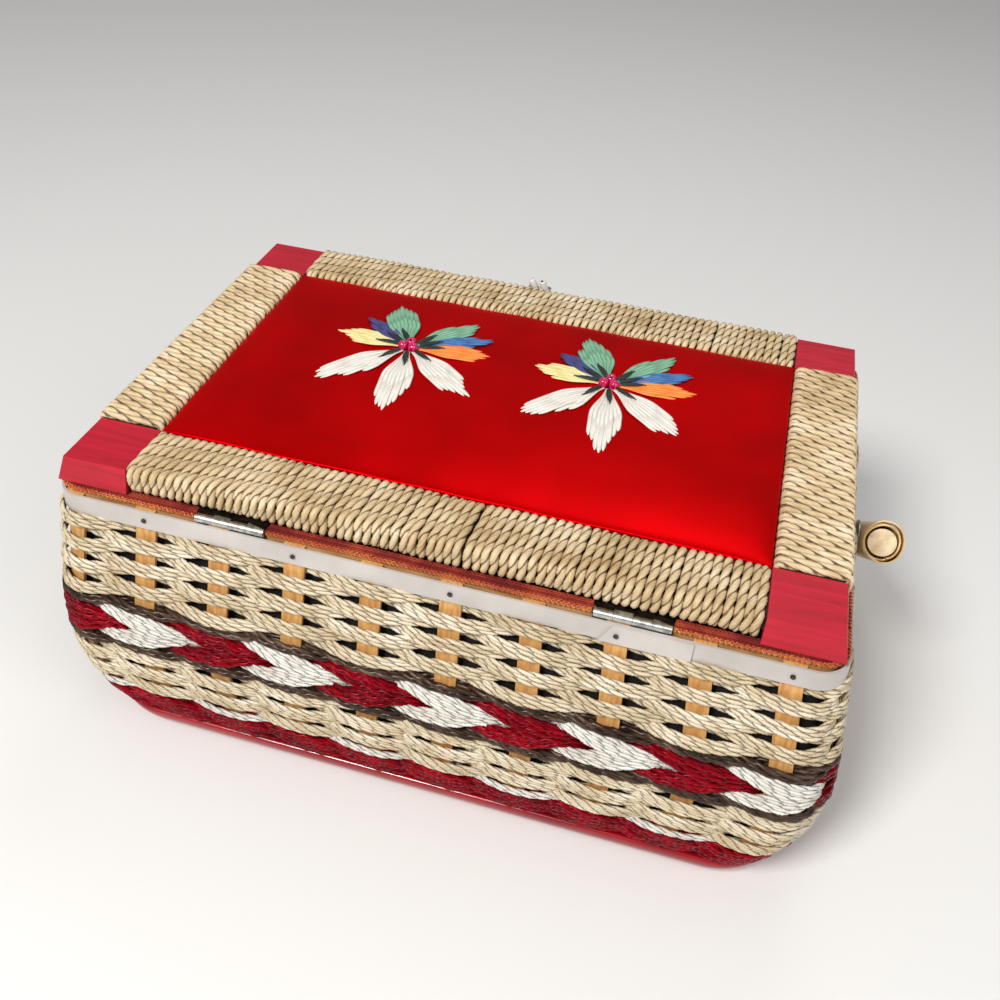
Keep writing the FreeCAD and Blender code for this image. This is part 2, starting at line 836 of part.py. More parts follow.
# Satin pad: drawn-in sides and a low crown, as shares of the crown's rise and the shoulder's width
PAD_PROFILE = ((0.0, 0.03), (0.3, 0.0), (0.6, 0.05), (0.85, 0.32), (1.0, 1.0))
PAD_CORNER_EASE = 0.4
SHOULDER_LIMIT = 0.62


def pad_shape():
    low = lid_bottom + size("board_thick") + fit_gap
    half_x = size("lid_length") / 2 - size("block_width") - seat_gap
    half_y = size("lid_depth") / 2 - size("block_width") - seat_gap
    # The shoulder is limited by the pad's half depth, as a fillet is by its wall
    shoulder = min(size("pad_shoulder"), half_y * SHOULDER_LIMIT)
    wires = []
    for rise, draw in PAD_PROFILE:
        inset = draw * shoulder
        corner = size("pad_corner") + inset * PAD_CORNER_EASE
        z = low + rise * size("pad_crown")
        wires.append(rounded_outline(half_x - inset, half_y - inset, corner, z))
    return Part.makeLoft(wires, True, True)


formed("satin_pad", pad_shape())


# Butt hinges: the lid's leaf lies under the back rail, the basket's leaf is let into the hoop
def knuckles(way, first):
    """Every other knuckle of one hinge, fused to its leaf by the caller."""
    count = int(size("knuckle_count"))
    pitch = size("hinge_length") / count
    rolls = []
    for index in range(first, count, 2):
        start = way * size("hinge_place") - size("hinge_length") / 2 + index * pitch + size("knuckle_gap") / 2
        base = V(start, hinge_y, hinge_z)
        rolls.append(Part.makeCylinder(knuckle, pitch - size("knuckle_gap"), base, V(1, 0, 0)))
    return rolls


def pin_bore():
    bore = size("hinge_pin") / 2 + size("pin_play")
    return Part.makeCylinder(bore, size("rim_length"), V(-size("rim_length") / 2, hinge_y, hinge_z), V(1, 0, 0))


def other_knuckles(way, first, low_y, low_z):
    """Room beside one leaf for the other leaf's knuckles."""
    count = int(size("knuckle_count"))
    pitch = size("hinge_length") / count
    rooms = []
    for index in range(1 - first, count, 2):
        start = way * size("hinge_place") - size("hinge_length") / 2 + index * pitch - size("knuckle_gap") / 2
        width = pitch + size("knuckle_gap")
        rooms.append(Part.makeBox(width, 4 * knuckle, 4 * knuckle, V(start, low_y, low_z)))
    return Part.makeCompound(rooms)


def hinge_leaf(label, way, first, leaf):
    solid = leaf.multiFuse(knuckles(way, first)).removeSplitter().cut(pin_bore()).cut(nail_cutter)
    formed(label, solid)


leaf_thick = size("leaf_thick")
pins = []
for label, way in (("left", -1), ("right", 1)):
    top = hinge_z + knuckle
    lid_leaf = hinge_span(way, hinge_y - size("leaf_width"), hinge_y, top - leaf_thick, top, 0.0)
    lid_leaf = lid_leaf.cut(other_knuckles(way, 0, hinge_y - knuckle - fit_gap, hinge_z - 2 * knuckle))
    hinge_leaf(f"hinge_leaf_lid_{label}", way, 0, lid_leaf)
    face = hinge_y - knuckle
    basket_leaf = hinge_span(way, face, face + leaf_thick, leaf_bottom, hinge_z, 0.0)
    basket_leaf = basket_leaf.cut(other_knuckles(way, 1, face - knuckle, hinge_z - knuckle - fit_gap))
    hinge_leaf(f"hinge_leaf_basket_{label}", way, 1, basket_leaf)
    base = V(way * size("hinge_place") - size("hinge_length") / 2, hinge_y, hinge_z)
    pins.append(Part.makeCylinder(size("hinge_pin") / 2, size("hinge_length"), base, V(1, 0, 0)))
formed("hinge_pins", Part.makeCompound(pins))


# Carrying handle: a bent cane bow, wrapped with flat cane, that turns on two bolts
def bent_wire(points, radius):
    """Straight runs joined by tangent arcs of one radius."""
    edges = []
    last = points[0]
    for before, here, after in zip(points, points[1:], points[2:]):
        back = (before - here).normalize()
        on = (after - here).normalize()
        half = back.getAngle(on) / 2
        reach = radius / math.tan(half)
        start = here + back * reach
        end = here + on * reach
        centre = here + (back + on).normalize() * (radius / math.sin(half))
        middle = centre + (here - centre).normalize() * radius
        edges.append(Part.makeLine(last, start))
        edges.append(Part.Arc(start, middle, end).toShape())
        last = end
    edges.append(Part.makeLine(last, points[-1]))
    return Part.Wire(edges)


def swept(path, width):
    """Round bar along a path."""
    first = path.Edges[0]
    start = first.Vertexes[0].Point
    ring = Part.makeCircle(width / 2, start, first.tangentAt(first.FirstParameter))
    return path.makePipeShell([Part.Wire(ring)], True, False)


GRIP_STEPS = 6
SLOPE_STEP = math.radians(0.5)


def leg_way(slope):
    return V(0, -math.cos(slope), -math.sin(slope))


def grip_gap(slope):
    """Least gap between the grip and the front wall when the legs hang at a slope."""
    grip = pivot + leg_way(slope) * size("handle_reach")
    radius = size("handle_outer") / 2
    gaps = []
    for step in range(-GRIP_STEPS, GRIP_STEPS + 1):
        rise = radius * step / GRIP_STEPS
        z = max(0.0, grip.z + rise)
        skin = foot_inner + size("foot_thick") if z < size("foot_height") else weave_out + size("row_thick") / 2
        gaps.append(-grip.y - math.sqrt(radius ** 2 - rise ** 2) - wall_outline(z)[1] - skin)
    return min(gaps)


# The handle hangs at its set slope, or as far down as the front wall lets it
slope = math.radians(size("handle_slope"))
while slope > 0 and grip_gap(slope) < seat_gap:
    slope -= SLOPE_STEP
down_leg = leg_way(slope)
bow_points = []
for way in (-1, 1):
    across = V(way * size("handle_span") / 2, 0, 0)
    leg = V(way * size("handle_splay") / size("handle_reach"), 0, 0) + down_leg
    stub = pivot + across - leg * size("handle_stub")
    knee = pivot + across + leg * size("handle_reach")
    bow_points += [stub, knee] if way < 0 else [knee, stub]
bow = bent_wire(bow_points, size("handle_bend"))
core_room = size("handle_core") + 2 * fit_gap
pivot_reach = size("handle_span") / 2 + size("handle_outer")
pivot_bore = Part.makeCylinder(
    size("bolt_shank") / 2 + size("pin_play"), 2 * pivot_reach, pivot - V(pivot_reach, 0, 0), V(1, 0, 0)
)
formed("handle_core", swept(bow, size("handle_core")).cut(pivot_bore))
formed("handle_wrap", swept(bow, size("handle_outer")).cut(swept(bow, core_room)).cut(pivot_bore))

# Bolts, nuts and washers of the handle's pivots
leg_middle = size("handle_span") / 2
leg_rise = size("handle_splay") / size("handle_reach")
leg_outer = leg_middle + size("handle_outer") / 2 + leg_rise * size("bolt_head") / 2 + seat_gap
wall_face = wall_outline(pivot.z - size("washer_width") / 2)[0] + weave_out + size("row_thick") / 2 + fit_gap
liner_face = wall_outline(pivot.z + size("nut_width") / 2)[0] + liner_inner - fit_gap
bolts = []
washers = []
for way in (-1, 1):
    out = V(way, 0, 0)
    inside = pivot + out * (liner_face - size("nut_height"))
    shank = Part.makeCylinder(size("bolt_shank") / 2, leg_outer - liner_face + size("nut_height"), inside, out)
    head_rise = size("bolt_head_height")
    head = Part.makeCone(size("bolt_head") / 2, size("bolt_head") / 3, head_rise, pivot + out * leg_outer, out)
    nut = Part.makeCylinder(size("nut_width") / 2, size("nut_height"), inside, out)
    bolts.append(shank.multiFuse([head, nut]).removeSplitter())
    disc = Part.makeCylinder(size("washer_width") / 2, size("washer_thick"), pivot + out * wall_face, out)
    washers.append(disc.cut(bolt_cutter))
formed("pivot_bolts", Part.makeCompound(bolts))
formed("pivot_washers", Part.makeCompound(washers))


# Latch: a turned knob on the front of the rim and a loop of vinyl tube on the front rail
# The knob's neck and edge lie at shares of its reach
KNOB_NECK_END = 0.45
KNOB_EDGE = 0.6
KNOB_ROUND = 0.71


def knob_profile():
    """Half outline of the knob, from the tip of its shank to its bevelled head."""
    shank = size("knob_shank") / 2
    neck = size("knob_neck") / 2
    head = size("knob_head") / 2
    inside = size("hoop_thick") + size("stake_thick") + 2 * fit_gap
    seat = band_outer - stake_half + seat_gap
    reach = size("knob_reach")
    rim = seat + reach * KNOB_NECK_END
    edge = seat + reach * KNOB_EDGE
    bevel = V(head * KNOB_ROUND, edge + (seat + reach - edge) * KNOB_ROUND, 0)
    tip = V(shank / 2, seat + reach, 0)
    end = V(0, seat + reach, 0)
    return [
        Part.makeLine(V(0, -inside + stake_half, 0), V(shank, -inside + stake_half, 0)),
        Part.makeLine(V(shank, -inside + stake_half, 0), V(shank, seat + fit_gap, 0)),
        Part.makeLine(V(shank, seat + fit_gap, 0), V(neck, seat + fit_gap, 0)),
        Part.makeLine(V(neck, seat + fit_gap, 0), V(neck, rim, 0)),
        Part.makeLine(V(neck, rim, 0), V(head, edge, 0)),
        Part.makeLine(V(head, edge, 0), bevel),
        Part.makeLine(bevel, tip),
        Part.makeLine(tip, end),
        Part.makeLine(end, V(0, -inside + stake_half, 0)),
    ]


knob = Part.Face(Part.Wire(knob_profile())).revolve(V(), V(0, 1, 0), 360)
knob_seat = V(size("latch_place"), -wall_outline(nail_z)[1] - stake_half, nail_z)
formed("latch_knob", knob, FreeCAD.Placement(knob_seat, FreeCAD.Rotation(V(0, 0, 1), 180)))

tube = size("tube_outer")
loop_y = -(size("lid_depth") / 2 + size("cord_proud") + fit_gap + tube / 2 + seat_gap)
hang_y = rim_front - band_outer - seat_gap - tube / 2
loop_low = nail_z + size("knob_head") / 2 + size("loop_clear") + tube / 2
staple_z = lid_top - size("staple_drop")
loop_top = lid_top + size("cord_proud") + size("loop_rise")

# The loop hangs from its staple, slack above the knob, and leans so that its free ends stand to one side
loop_levels = (
    (loop_top, size("loop_spread"), loop_y),
    (staple_z, size("loop_waist"), loop_y),
    (loop_low, size("loop_width") / 2, hang_y),
)


def loop_middle(z):
    return size("latch_place") + size("loop_lean") * (z - loop_low) / (loop_top - loop_low)


left_run = [V(loop_middle(z) - half, y, z) for z, half, y in loop_levels]
right_run = [V(loop_middle(z) + half, y, z) for z, half, y in reversed(loop_levels)]
loop_path = bent_wire(left_run + right_run, size("loop_bend"))
loop = swept(loop_path, tube)
expected = math.pi * tube ** 2 / 4 * loop_path.Length
print("latch loop: radius", size("loop_bend"))
print("latch loop: volume", round(loop.Volume, 1), "section by length", round(expected, 1))
formed("latch_loop", loop)

# Staple: a wire bridge over the loop's waist with its two legs in the front rail
wire = size("staple_wire")
staple_half = size("loop_waist") + tube / 2 + 2 * fit_gap + wire
bridge_y = loop_y - tube / 2 - seat_gap - wire / 2
leg_end = -(size("lid_depth") / 2 + size("cord_proud")) - 2 * fit_gap
staple_left = loop_middle(staple_z) - staple_half
staple_right = loop_middle(staple_z) + staple_half
staple_points = [
    V(staple_left, leg_end, staple_z),
    V(staple_left, bridge_y, staple_z),
    V(staple_right, bridge_y, staple_z),
    V(staple_right, leg_end, staple_z),
]
formed("latch_staple", swept(bent_wire(staple_points, wire), wire))


# Every object is sound before anything is written
doc.recompute()
for obj in doc.Objects:
    if "Invalid" in obj.State or "Error" in obj.State:
        raise RuntimeError(f"{obj.Label} failed: {obj.State}")
os.makedirs("parts", exist_ok=True)
for obj in parts:
    shape = obj.Shape
    if shape.isNull() or not shape.isValid() or not shape.Solids:
        raise RuntimeError(f"{obj.Label} has no sound solid")
for obj in parts:
    obj.Shape.exportStep(f"parts/{obj.Label}.step")
print(len(parts), "pieces written")
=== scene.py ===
import json
import math
import bpy
import bmesh
import numpy as np
from mathutils import Matrix, Vector


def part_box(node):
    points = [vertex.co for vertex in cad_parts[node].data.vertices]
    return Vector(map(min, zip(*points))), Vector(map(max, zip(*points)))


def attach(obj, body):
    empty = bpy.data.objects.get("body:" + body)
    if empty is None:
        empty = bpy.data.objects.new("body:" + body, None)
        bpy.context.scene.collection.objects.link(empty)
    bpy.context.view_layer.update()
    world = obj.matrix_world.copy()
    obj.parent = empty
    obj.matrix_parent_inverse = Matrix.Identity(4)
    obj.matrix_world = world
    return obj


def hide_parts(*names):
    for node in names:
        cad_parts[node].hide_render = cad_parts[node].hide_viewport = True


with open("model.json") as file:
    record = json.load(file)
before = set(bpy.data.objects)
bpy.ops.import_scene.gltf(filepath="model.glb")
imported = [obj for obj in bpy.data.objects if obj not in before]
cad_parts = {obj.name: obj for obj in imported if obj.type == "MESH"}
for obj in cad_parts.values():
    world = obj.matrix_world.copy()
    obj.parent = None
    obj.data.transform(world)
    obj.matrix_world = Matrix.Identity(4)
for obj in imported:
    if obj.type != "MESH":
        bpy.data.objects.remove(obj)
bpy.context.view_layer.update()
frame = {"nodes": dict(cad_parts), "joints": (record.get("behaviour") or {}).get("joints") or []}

mm = 0.001
fullTurn = 2 * np.pi
zUp = np.array([0, 0, 1.0])
longSides = ("back", "front")
shortSides = ("left", "right")
rng = np.random.default_rng(11)


# Wall of the basket
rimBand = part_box("rim_band")
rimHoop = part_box("inner_rim_hoop")
outsideHoop = 0.8 * mm  # the wall's line lies this far outside the hoop
wall = {
    "top": rimBand[1].z,
    "halfLength": rimHoop[1].x + outsideHoop, "halfDepth": rimHoop[1].y + outsideHoop,
    "rimCorner": 9 * mm, "footCorner": 24 * mm,
    "bulge": 8.6 * mm, "lean": 1.3,  # the barrel's fullness, and how low it lies
    "footDraw": 4.9 * mm, "drawSharp": 8,  # how far and how suddenly the foot is drawn in
    "stakes": 32, "firstStake": 0.35, "weaveOut": 2.15 * mm,
}
rimQuarter = np.pi / 2 * wall["rimCorner"]
rimGirth = 4 * (wall["halfLength"] + wall["halfDepth"] - 2 * wall["rimCorner"] + rimQuarter)


def walkRound(flatX, flatY, corner, part, heading):
    # Places on a rounded rectangle, part 0 to 1 from the middle of a long side, and the heading there
    quarter = np.pi / 2 * corner
    runs = [flatX, quarter, 2 * flatY, quarter, 2 * flatX, quarter, 2 * flatY, quarter, flatX]
    left = (part % 1.0) * sum(runs)
    x = np.zeros_like(part)
    y = -np.cos(heading) * (flatY + corner)
    heading = np.full_like(part, heading)
    for count, run in enumerate(runs):
        step = np.clip(left, 0, run)
        if count % 2:
            middleX = x - np.sin(heading) * corner
            middleY = y + np.cos(heading) * corner
            heading = heading + step / corner
            x = middleX + np.sin(heading) * corner
            y = middleY - np.cos(heading) * corner
        else:
            x = x + np.cos(heading) * step
            y = y + np.sin(heading) * step
        left = left - step
    return x, y, heading


def wallStation(share, z):
    # Points on the wall, share 0 to 1 round it from the middle of the back, and the way out of it
    share, z = np.broadcast_arrays(np.asarray(share, float), np.asarray(z, float))
    depth = np.maximum(0.0, (wall["top"] - z) / wall["top"])
    barrel = wall["bulge"] * np.sin(np.pi * depth ** wall["lean"])
    outset = barrel - wall["footDraw"] * depth ** wall["drawSharp"]
    corner = wall["rimCorner"] + (wall["footCorner"] - wall["rimCorner"]) * depth
    flatX = wall["halfLength"] + outset - corner
    flatY = wall["halfDepth"] + outset - corner
    x, y, heading = walkRound(flatX, flatY, corner, share, np.pi)
    outward = np.stack([np.sin(heading), -np.cos(heading), np.zeros_like(z)], axis=-1)
    return np.stack([x, y, z], axis=-1), outward


# Meshes from grids of points
weldReach = 0.01 * mm
# The dark line between two cords is painted shade
besideSharp = 4  # how narrow the dark line between two cords is


def gridFaces(rows, columns, closeRows, closeColumns):
    row = np.arange(rows if closeRows else rows - 1)
    column = np.arange(columns if closeColumns else columns - 1)
    i, k = np.meshgrid(row, column, indexing="ij")
    thisRow = i * columns
    nextRow = ((i + 1) % rows) * columns
    nextK = (k + 1) % columns
    faces = np.stack([thisRow + k, thisRow + nextK, nextRow + nextK, nextRow + k], axis=-1)
    uv = np.stack([i, k, i, k + 1, i + 1, k + 1, i + 1, k], axis=-1).reshape(-1, 4, 2)
    return faces.reshape(-1, 4), uv


def gridSurface(points, closeRows=False, closeColumns=False, uvStep=(1.0, 1.0), shade=1.0, tone=0.5):
    rows, columns = points.shape[:2]
    faces, uv = gridFaces(rows, columns, closeRows, closeColumns)
    shade = np.broadcast_to(shade, (rows, columns)).reshape(-1)
    return {"points": points.reshape(-1, 3), "faces": faces, "uv": uv * np.array(uvStep), "shade": shade,
            "tone": np.full(rows * columns, tone)}


def mendMesh(mesh, fill):
    # Fills open ends or else joins doubled points, and turns every face outward
    work = bmesh.new()
    work.from_mesh(mesh)
    if fill:
        bmesh.ops.holes_fill(work, edges=[e for e in work.edges if e.is_boundary], sides=0)
    else:
        bmesh.ops.remove_doubles(work, verts=work.verts, dist=weldReach)
    bmesh.ops.recalc_face_normals(work, faces=work.faces)
    work.to_mesh(mesh)
    work.free()


def addObject(name, data):
    piece = bpy.data.objects.new(name, data)
    bpy.context.scene.collection.objects.link(piece)
    return piece


def meshPiece(name, surfaces, material, body, nodes=(), smooth=True, fill=False, weld=False):
    starts = np.cumsum([0] + [len(s["points"]) for s in surfaces])
    points = np.concatenate([s["points"] for s in surfaces])
    faces = np.concatenate([s["faces"] + start for s, start in zip(surfaces, starts)])
    uv = np.concatenate([s["uv"] for s in surfaces])
    mesh = bpy.data.meshes.new(name)
    mesh.vertices.add(len(points))
    mesh.vertices.foreach_set("co", points.astype(np.float32).ravel())
    mesh.loops.add(faces.size)
    mesh.loops.foreach_set("vertex_index", faces.astype(np.int32).ravel())
    mesh.polygons.add(len(faces))
    mesh.polygons.foreach_set("loop_start", np.arange(0, faces.size, 4, dtype=np.int32))
    mesh.polygons.foreach_set("use_smooth", np.full(len(faces), smooth))
    mesh.uv_layers.new(name="UVMap").data.foreach_set("uv", uv.astype(np.float32).ravel())
    for layer in ("shade", "tone"):
        values = np.concatenate([s[layer] for s in surfaces]).astype(np.float32)
        mesh.attributes.new(layer, "FLOAT", "POINT").data.foreach_set("value", values)
    mesh.update(calc_edges=True)
    if fill or weld:
        mendMesh(mesh, fill)
    mesh.materials.append(material)
    piece = addObject(name, mesh)
    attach(piece, body)
    if nodes:
        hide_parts(*nodes)
    return piece


def paintFaces(mesh, material, chosen):
    mesh.materials.append(material)
    for face in mesh.polygons:
        if chosen(face):
            face.material_index = len(mesh.materials) - 1


def unit(vectors):
    return vectors / np.linalg.norm(vectors, axis=-1, keepdims=True)


def ringAngles(count):
    return fullTurn * np.arange(count) / count


def edgeSpaced(count):
    # From -1 to 1, closer together towards both ends
    return np.sin(np.linspace(-np.pi / 2, np.pi / 2, count))


def runAlong(points):
    steps = np.linalg.norm(np.diff(points, axis=0), axis=-1)
    return np.concatenate([[0.0], np.cumsum(steps)])


def valuesAlong(spots, run, values):
    return np.stack([np.interp(spots, run, values[:, k]) for k in range(3)], axis=-1)


def sweepFrames(points, upward, closed):
    # Two ways across a line at each point, the first as near to upward as it can be
    if closed:
        ahead = np.roll(points, -1, axis=0) - np.roll(points, 1, axis=0)
    else:
        ahead = np.gradient(points, axis=0)
    ahead = unit(ahead)
    side = unit(upward - ahead * np.sum(ahead * upward, axis=-1, keepdims=True))
    return side, np.cross(ahead, side)


def twistedCord(points, upward, radius, ply, closed, start=0.0, tone=0.5):
    # Two plies laid round each other: the section has two lobes and turns along the cord
    side, across = sweepFrames(points, upward, closed)
    steps = np.linalg.norm(np.diff(points, axis=0, append=points[:1] if closed else points[-1:]), axis=-1)
    run = np.concatenate([[0.0], np.cumsum(steps)[:-1]])
    total = steps.sum()
    turns = total / ply["lay"]
    if closed:
        turns = round(turns * 2) / 2
    twist = fullTurn * turns * run / total + start
    around = ringAngles(ply["sides"])
    valley = np.abs(np.sin(around)) ** ply["sharp"]
    lobe = 1 - ply["groove"] * valley
    angle = around[None, :] + twist[:, None]
    reach = (radius * lobe)[None, :, None]
    ring = np.cos(angle)[..., None] * side[:, None, :] + np.sin(angle)[..., None] * across[:, None, :]
    # Painted shade: darker in the valleys between the plies and on the sides where the next cord lies
    # against this one
    beside = np.abs(ring @ upward) ** besideSharp  # where the next cord lies against this one
    shade = (1 - valley)[None, :] * (1 - ply["press"] * beside)
    uvStep = (total / len(points) / mm, 1 / ply["sides"])
    surface = gridSurface(points[:, None, :] + reach * ring, closed, True, uvStep, shade, tone)
    if closed and round(turns * 2) % 2:
        # An odd half turn joins each ply to the other one at the seam
        half = ply["sides"] // 2
        last = surface["faces"][-ply["sides"]:]
        last[:, 2] = (last[:, 2] + half) % ply["sides"]
        last[:, 3] = (last[:, 3] + half) % ply["sides"]
    return surface


def border(grid):
    return np.concatenate([grid[:, 0], grid[-1, 1:], grid[-2::-1, -1], grid[0, -2:0:-1]])


def closedPanel(name, front, back, material, body, node):
    # A soft panel: crowned front, flat back and the narrow side between them
    skirt = np.stack([border(front), border(back)], axis=1)
    surfaces = [gridSurface(front), gridSurface(back[:, ::-1]), gridSurface(skirt[::-1], True, False)]
    return meshPiece(name, surfaces, material, body, [node], weld=True)


def latheSurface(profile, sides, place, way):
    # Rings round the X axis at pairs of a distance and a radius in millimetres
    angle = ringAngles(sides)
    rings = []
    for distance, radius in profile:
        along = np.full(sides, way * distance)
        ring = np.stack([along, radius * np.cos(angle), radius * np.sin(angle)], axis=-1)
        rings.append(ring * mm + np.array(place))
    return gridSurface(np.array(rings), False, True)


# Materials: colours are 0 to 255 of red, green and blue, and tints of the shine 0 to 1
def linear(red, green, blue):
    values = [c / 255 for c in (red, green, blue)]
    return [c / 12.92 if c <= 0.04045 else ((c + 0.055) / 1.055) ** 2.4 for c in values] + [1.0]


def newMaterial(name, roughness, **settings):
    material = bpy.data.materials.new(name)
    material.use_nodes = True
    shader = material.node_tree.nodes["Principled BSDF"]
    shader.inputs["Roughness"].default_value = roughness
    for key, value in settings.items():
        shader.inputs[key.replace("_", " ")].default_value = value
    return material, shader


def addNode(material, kind, links=None, **values):
    node = material.node_tree.nodes.new(kind)
    for key, value in values.items():
        if hasattr(node, key):
            setattr(node, key, value)
        else:
            node.inputs[key.replace("_", " ")].default_value = value
    for key, socket in (links or {}).items():
        material.node_tree.links.new(socket, node.inputs[key])
    return node


def link(material, socket, target):
    material.node_tree.links.new(socket, target)


def objectPlace(material):
    return addNode(material, "ShaderNodeTexCoord").outputs["Object"]


def uvPlace(material):
    return addNode(material, "ShaderNodeUVMap", uv_map="UVMap").outputs["UV"]


def attribute(material, name):
    return addNode(material, "ShaderNodeAttribute", attribute_name=name).outputs["Fac"]


def noise(material, place, scale, detail, stretch=None):
    if stretch:
        place = addNode(material, "ShaderNodeMapping", {"Vector": place}, Scale=stretch).outputs["Vector"]
    node = addNode(material, "ShaderNodeTexNoise", {"Vector": place}, Scale=scale, Detail=detail)
    return node.outputs["Fac"]


def add(material, first, second):
    return addNode(material, "ShaderNodeMath", {0: first, 1: second}, operation="ADD").outputs[0]


def multiplyColours(material, first, second):
    # The mix node takes its factor at socket 0 and its colours at 6 and 7, and gives a colour at 2
    node = addNode(material, "ShaderNodeMix", {6: first, 7: second}, data_type="RGBA", blend_type="MULTIPLY")
    node.inputs[0].default_value = 1.0
    return node.outputs[2]


def ramp(material, factor, stops):
    node = addNode(material, "ShaderNodeValToRGB", {"Fac": factor})
    band = node.color_ramp
    while len(band.elements) < len(stops):
        band.elements.new(0.5)
    for element, (place, colour) in zip(band.elements, stops):
        element.position = place
        element.color = linear(*colour)
    return node.outputs["Color"]


def bump(material, shader, height, strength, distance):
    node = addNode(material, "ShaderNodeBump", {"Height": height}, Strength=strength, Distance=distance)
    link(material, node.outputs["Normal"], shader.inputs["Normal"])


def colourAndRelief(material, shader, grain, stops, strength, distance):
    link(material, ramp(material, grain, stops), shader.inputs["Base Color"])
    bump(material, shader, grain, strength, distance)


def cordMaterial(name, dark, middle, light, roughness, grooveShade, relief=0.35, shine=(1, 1, 1, 1)):
    # Fibres along the cord, slow patches and each cord's own tone, with painted shade in the valleys between
    # the plies and where cords lie together
    material, shader = newMaterial(name, roughness, Specular_IOR_Level=0.35, Specular_Tint=shine)
    fibre = noise(material, uvPlace(material), scale=2.2, detail=4.0, stretch=(0.10, 9.0, 1.0))
    position = addNode(material, "ShaderNodeNewGeometry").outputs["Position"]
    patch = noise(material, position, scale=70.0, detail=2.0)
    mixed = add(material, add(material, fibre, patch), attribute(material, "tone"))
    third = addNode(material, "ShaderNodeMath", {0: mixed}, operation="DIVIDE")
    third.inputs[1].default_value = 3.0
    colour = ramp(material, third.outputs[0], [(0.38, dark), (0.5, middle), (0.62, light)])
    # Painted shade: the shade value turns the colour towards the groove shade colour in the ply valleys and
    # between cords
    groove = ramp(material, attribute(material, "shade"), [(0.0, grooveShade), (0.26, (255, 255, 255))])
    link(material, multiplyColours(material, colour, groove), shader.inputs["Base Color"])
    bump(material, shader, fibre, relief, 0.3 * mm)
    return material


def woodMaterial(name, dark, light, roughness, grain, coat=0.0):
    material, shader = newMaterial(name, roughness, Coat_Weight=coat, Coat_Roughness=0.1)
    fibre = noise(material, objectPlace(material), scale=1.0, detail=5.0, stretch=grain)
    colourAndRelief(material, shader, fibre, [(0.3, dark), (0.68, light)], 0.25, 0.2 * mm)
    return material


def satinMaterial(name, deep, bright, threads):
    # The shine is drawn out along the cloth's threads
    shine = {"Metallic": 0.78, "Anisotropic": 0.5, "Specular_Tint": (1, 0.08, 0.08, 1)}
    material, shader = newMaterial(name, 0.4, **shine)
    place = objectPlace(material)
    thread = noise(material, place, scale=1.0, detail=2.0, stretch=threads)
    soft = noise(material, place, scale=22.0, detail=2.0)
    link(material, ramp(material, soft, [(0.35, deep), (0.7, bright)]), shader.inputs["Base Color"])
    bump(material, shader, thread, 0.12, 0.15 * mm)
    warp = addNode(material, "ShaderNodeTangent", direction_type="UV_MAP", uv_map="UVMap")
    link(material, warp.outputs["Tangent"], shader.inputs["Tangent"])
    return material


def steelMaterial(name, dark, light, roughness):
    material, shader = newMaterial(name, roughness, Metallic=1.0)
    wear = noise(material, objectPlace(material), scale=420.0, detail=5.0)
    colourAndRelief(material, shader, wear, [(0.35, dark), (0.6, light)], 0.15, 0.1 * mm)
    return material


def plainMaterial(name, dark, light, roughness, scale, coat=0.0, depth=0.1):
    material, shader = newMaterial(name, roughness, Coat_Weight=coat, Coat_Roughness=0.08)
    cloud = noise(material, objectPlace(material), scale=scale, detail=4.0)
    colourAndRelief(material, shader, cloud, [(0.35, dark), (0.65, light)], depth, 0.3 * mm)
    return material


naturalCord = cordMaterial("naturalCord", (184, 161, 122), (217, 200, 168), (238, 228, 207), 0.5,
                           grooveShade=(84, 62, 40))
windingCord = cordMaterial("windingCord", (178, 147, 101), (214, 189, 147), (239, 222, 191), 0.42,
                           grooveShade=(84, 58, 34))
whiteCord = cordMaterial("whiteCord", (198, 190, 176), (220, 215, 204), (238, 235, 228), 0.42,
                         grooveShade=(84, 76, 66))
crimsonCord = cordMaterial("crimsonCord", (72, 0, 6), (122, 0, 14), (160, 4, 28), 0.26,
                           grooveShade=(60, 20, 20), relief=0.05, shine=(1, 0.16, 0.2, 1))
brownCord = cordMaterial("brownCord", (26, 16, 11), (58, 40, 31), (116, 95, 80), 0.3,
                         grooveShade=(54, 42, 36), relief=0.1, shine=(1, 0.8, 0.66, 1))
stakeWood = woodMaterial("stakeWood", (186, 128, 66), (226, 174, 106), 0.55, (700, 700, 25))
hoopWood = woodMaterial("hoopWood", (150, 104, 58), (206, 160, 104), 0.6, (90, 90, 600))
redPaint = woodMaterial("redPaint", (160, 0, 24), (192, 4, 40), 0.5, (40, 520, 520), 0.1)
# Painted shade for the bare rail between the winding's turns
railShade = woodMaterial("railShade", (40, 24, 16), (70, 46, 30), 0.8, (40, 300, 300))
crimsonLacquer = woodMaterial("crimsonLacquer", (126, 2, 12), (158, 8, 22), 0.22, (40, 40, 160), 0.4)
boardWood = woodMaterial("boardWood", (120, 88, 56), (158, 122, 82), 0.7, (120, 120, 120))
coreCane = woodMaterial("coreCane", (196, 166, 122), (236, 214, 178), 0.6, (260, 260, 260))
wrapCane = woodMaterial("wrapCane", (186, 146, 90), (226, 194, 138), 0.35, (200, 200, 200), 0.3)
redSatin = satinMaterial("redSatin", (206, 0, 3), (234, 0, 8), (60, 1800, 60))
liningCloth = satinMaterial("liningCloth", (176, 2, 10), (206, 6, 20), (900, 900, 60))
whiteVinyl = plainMaterial("whiteVinyl", (182, 175, 168), (202, 195, 188), 0.34, 38.0, 0.15, 0.25)
tubeVinyl = plainMaterial("tubeVinyl", (206, 200, 194), (228, 223, 218), 0.3, 60.0, 0.2)
# Black card, also used as painted shade inside the latch tube's bore
blackCardAndShade = plainMaterial("blackCardAndShade", (14, 11, 10), (26, 20, 18), 0.9, 200.0)
nailSteel = steelMaterial("nailSteel", (46, 42, 40), (96, 90, 86), 0.45)
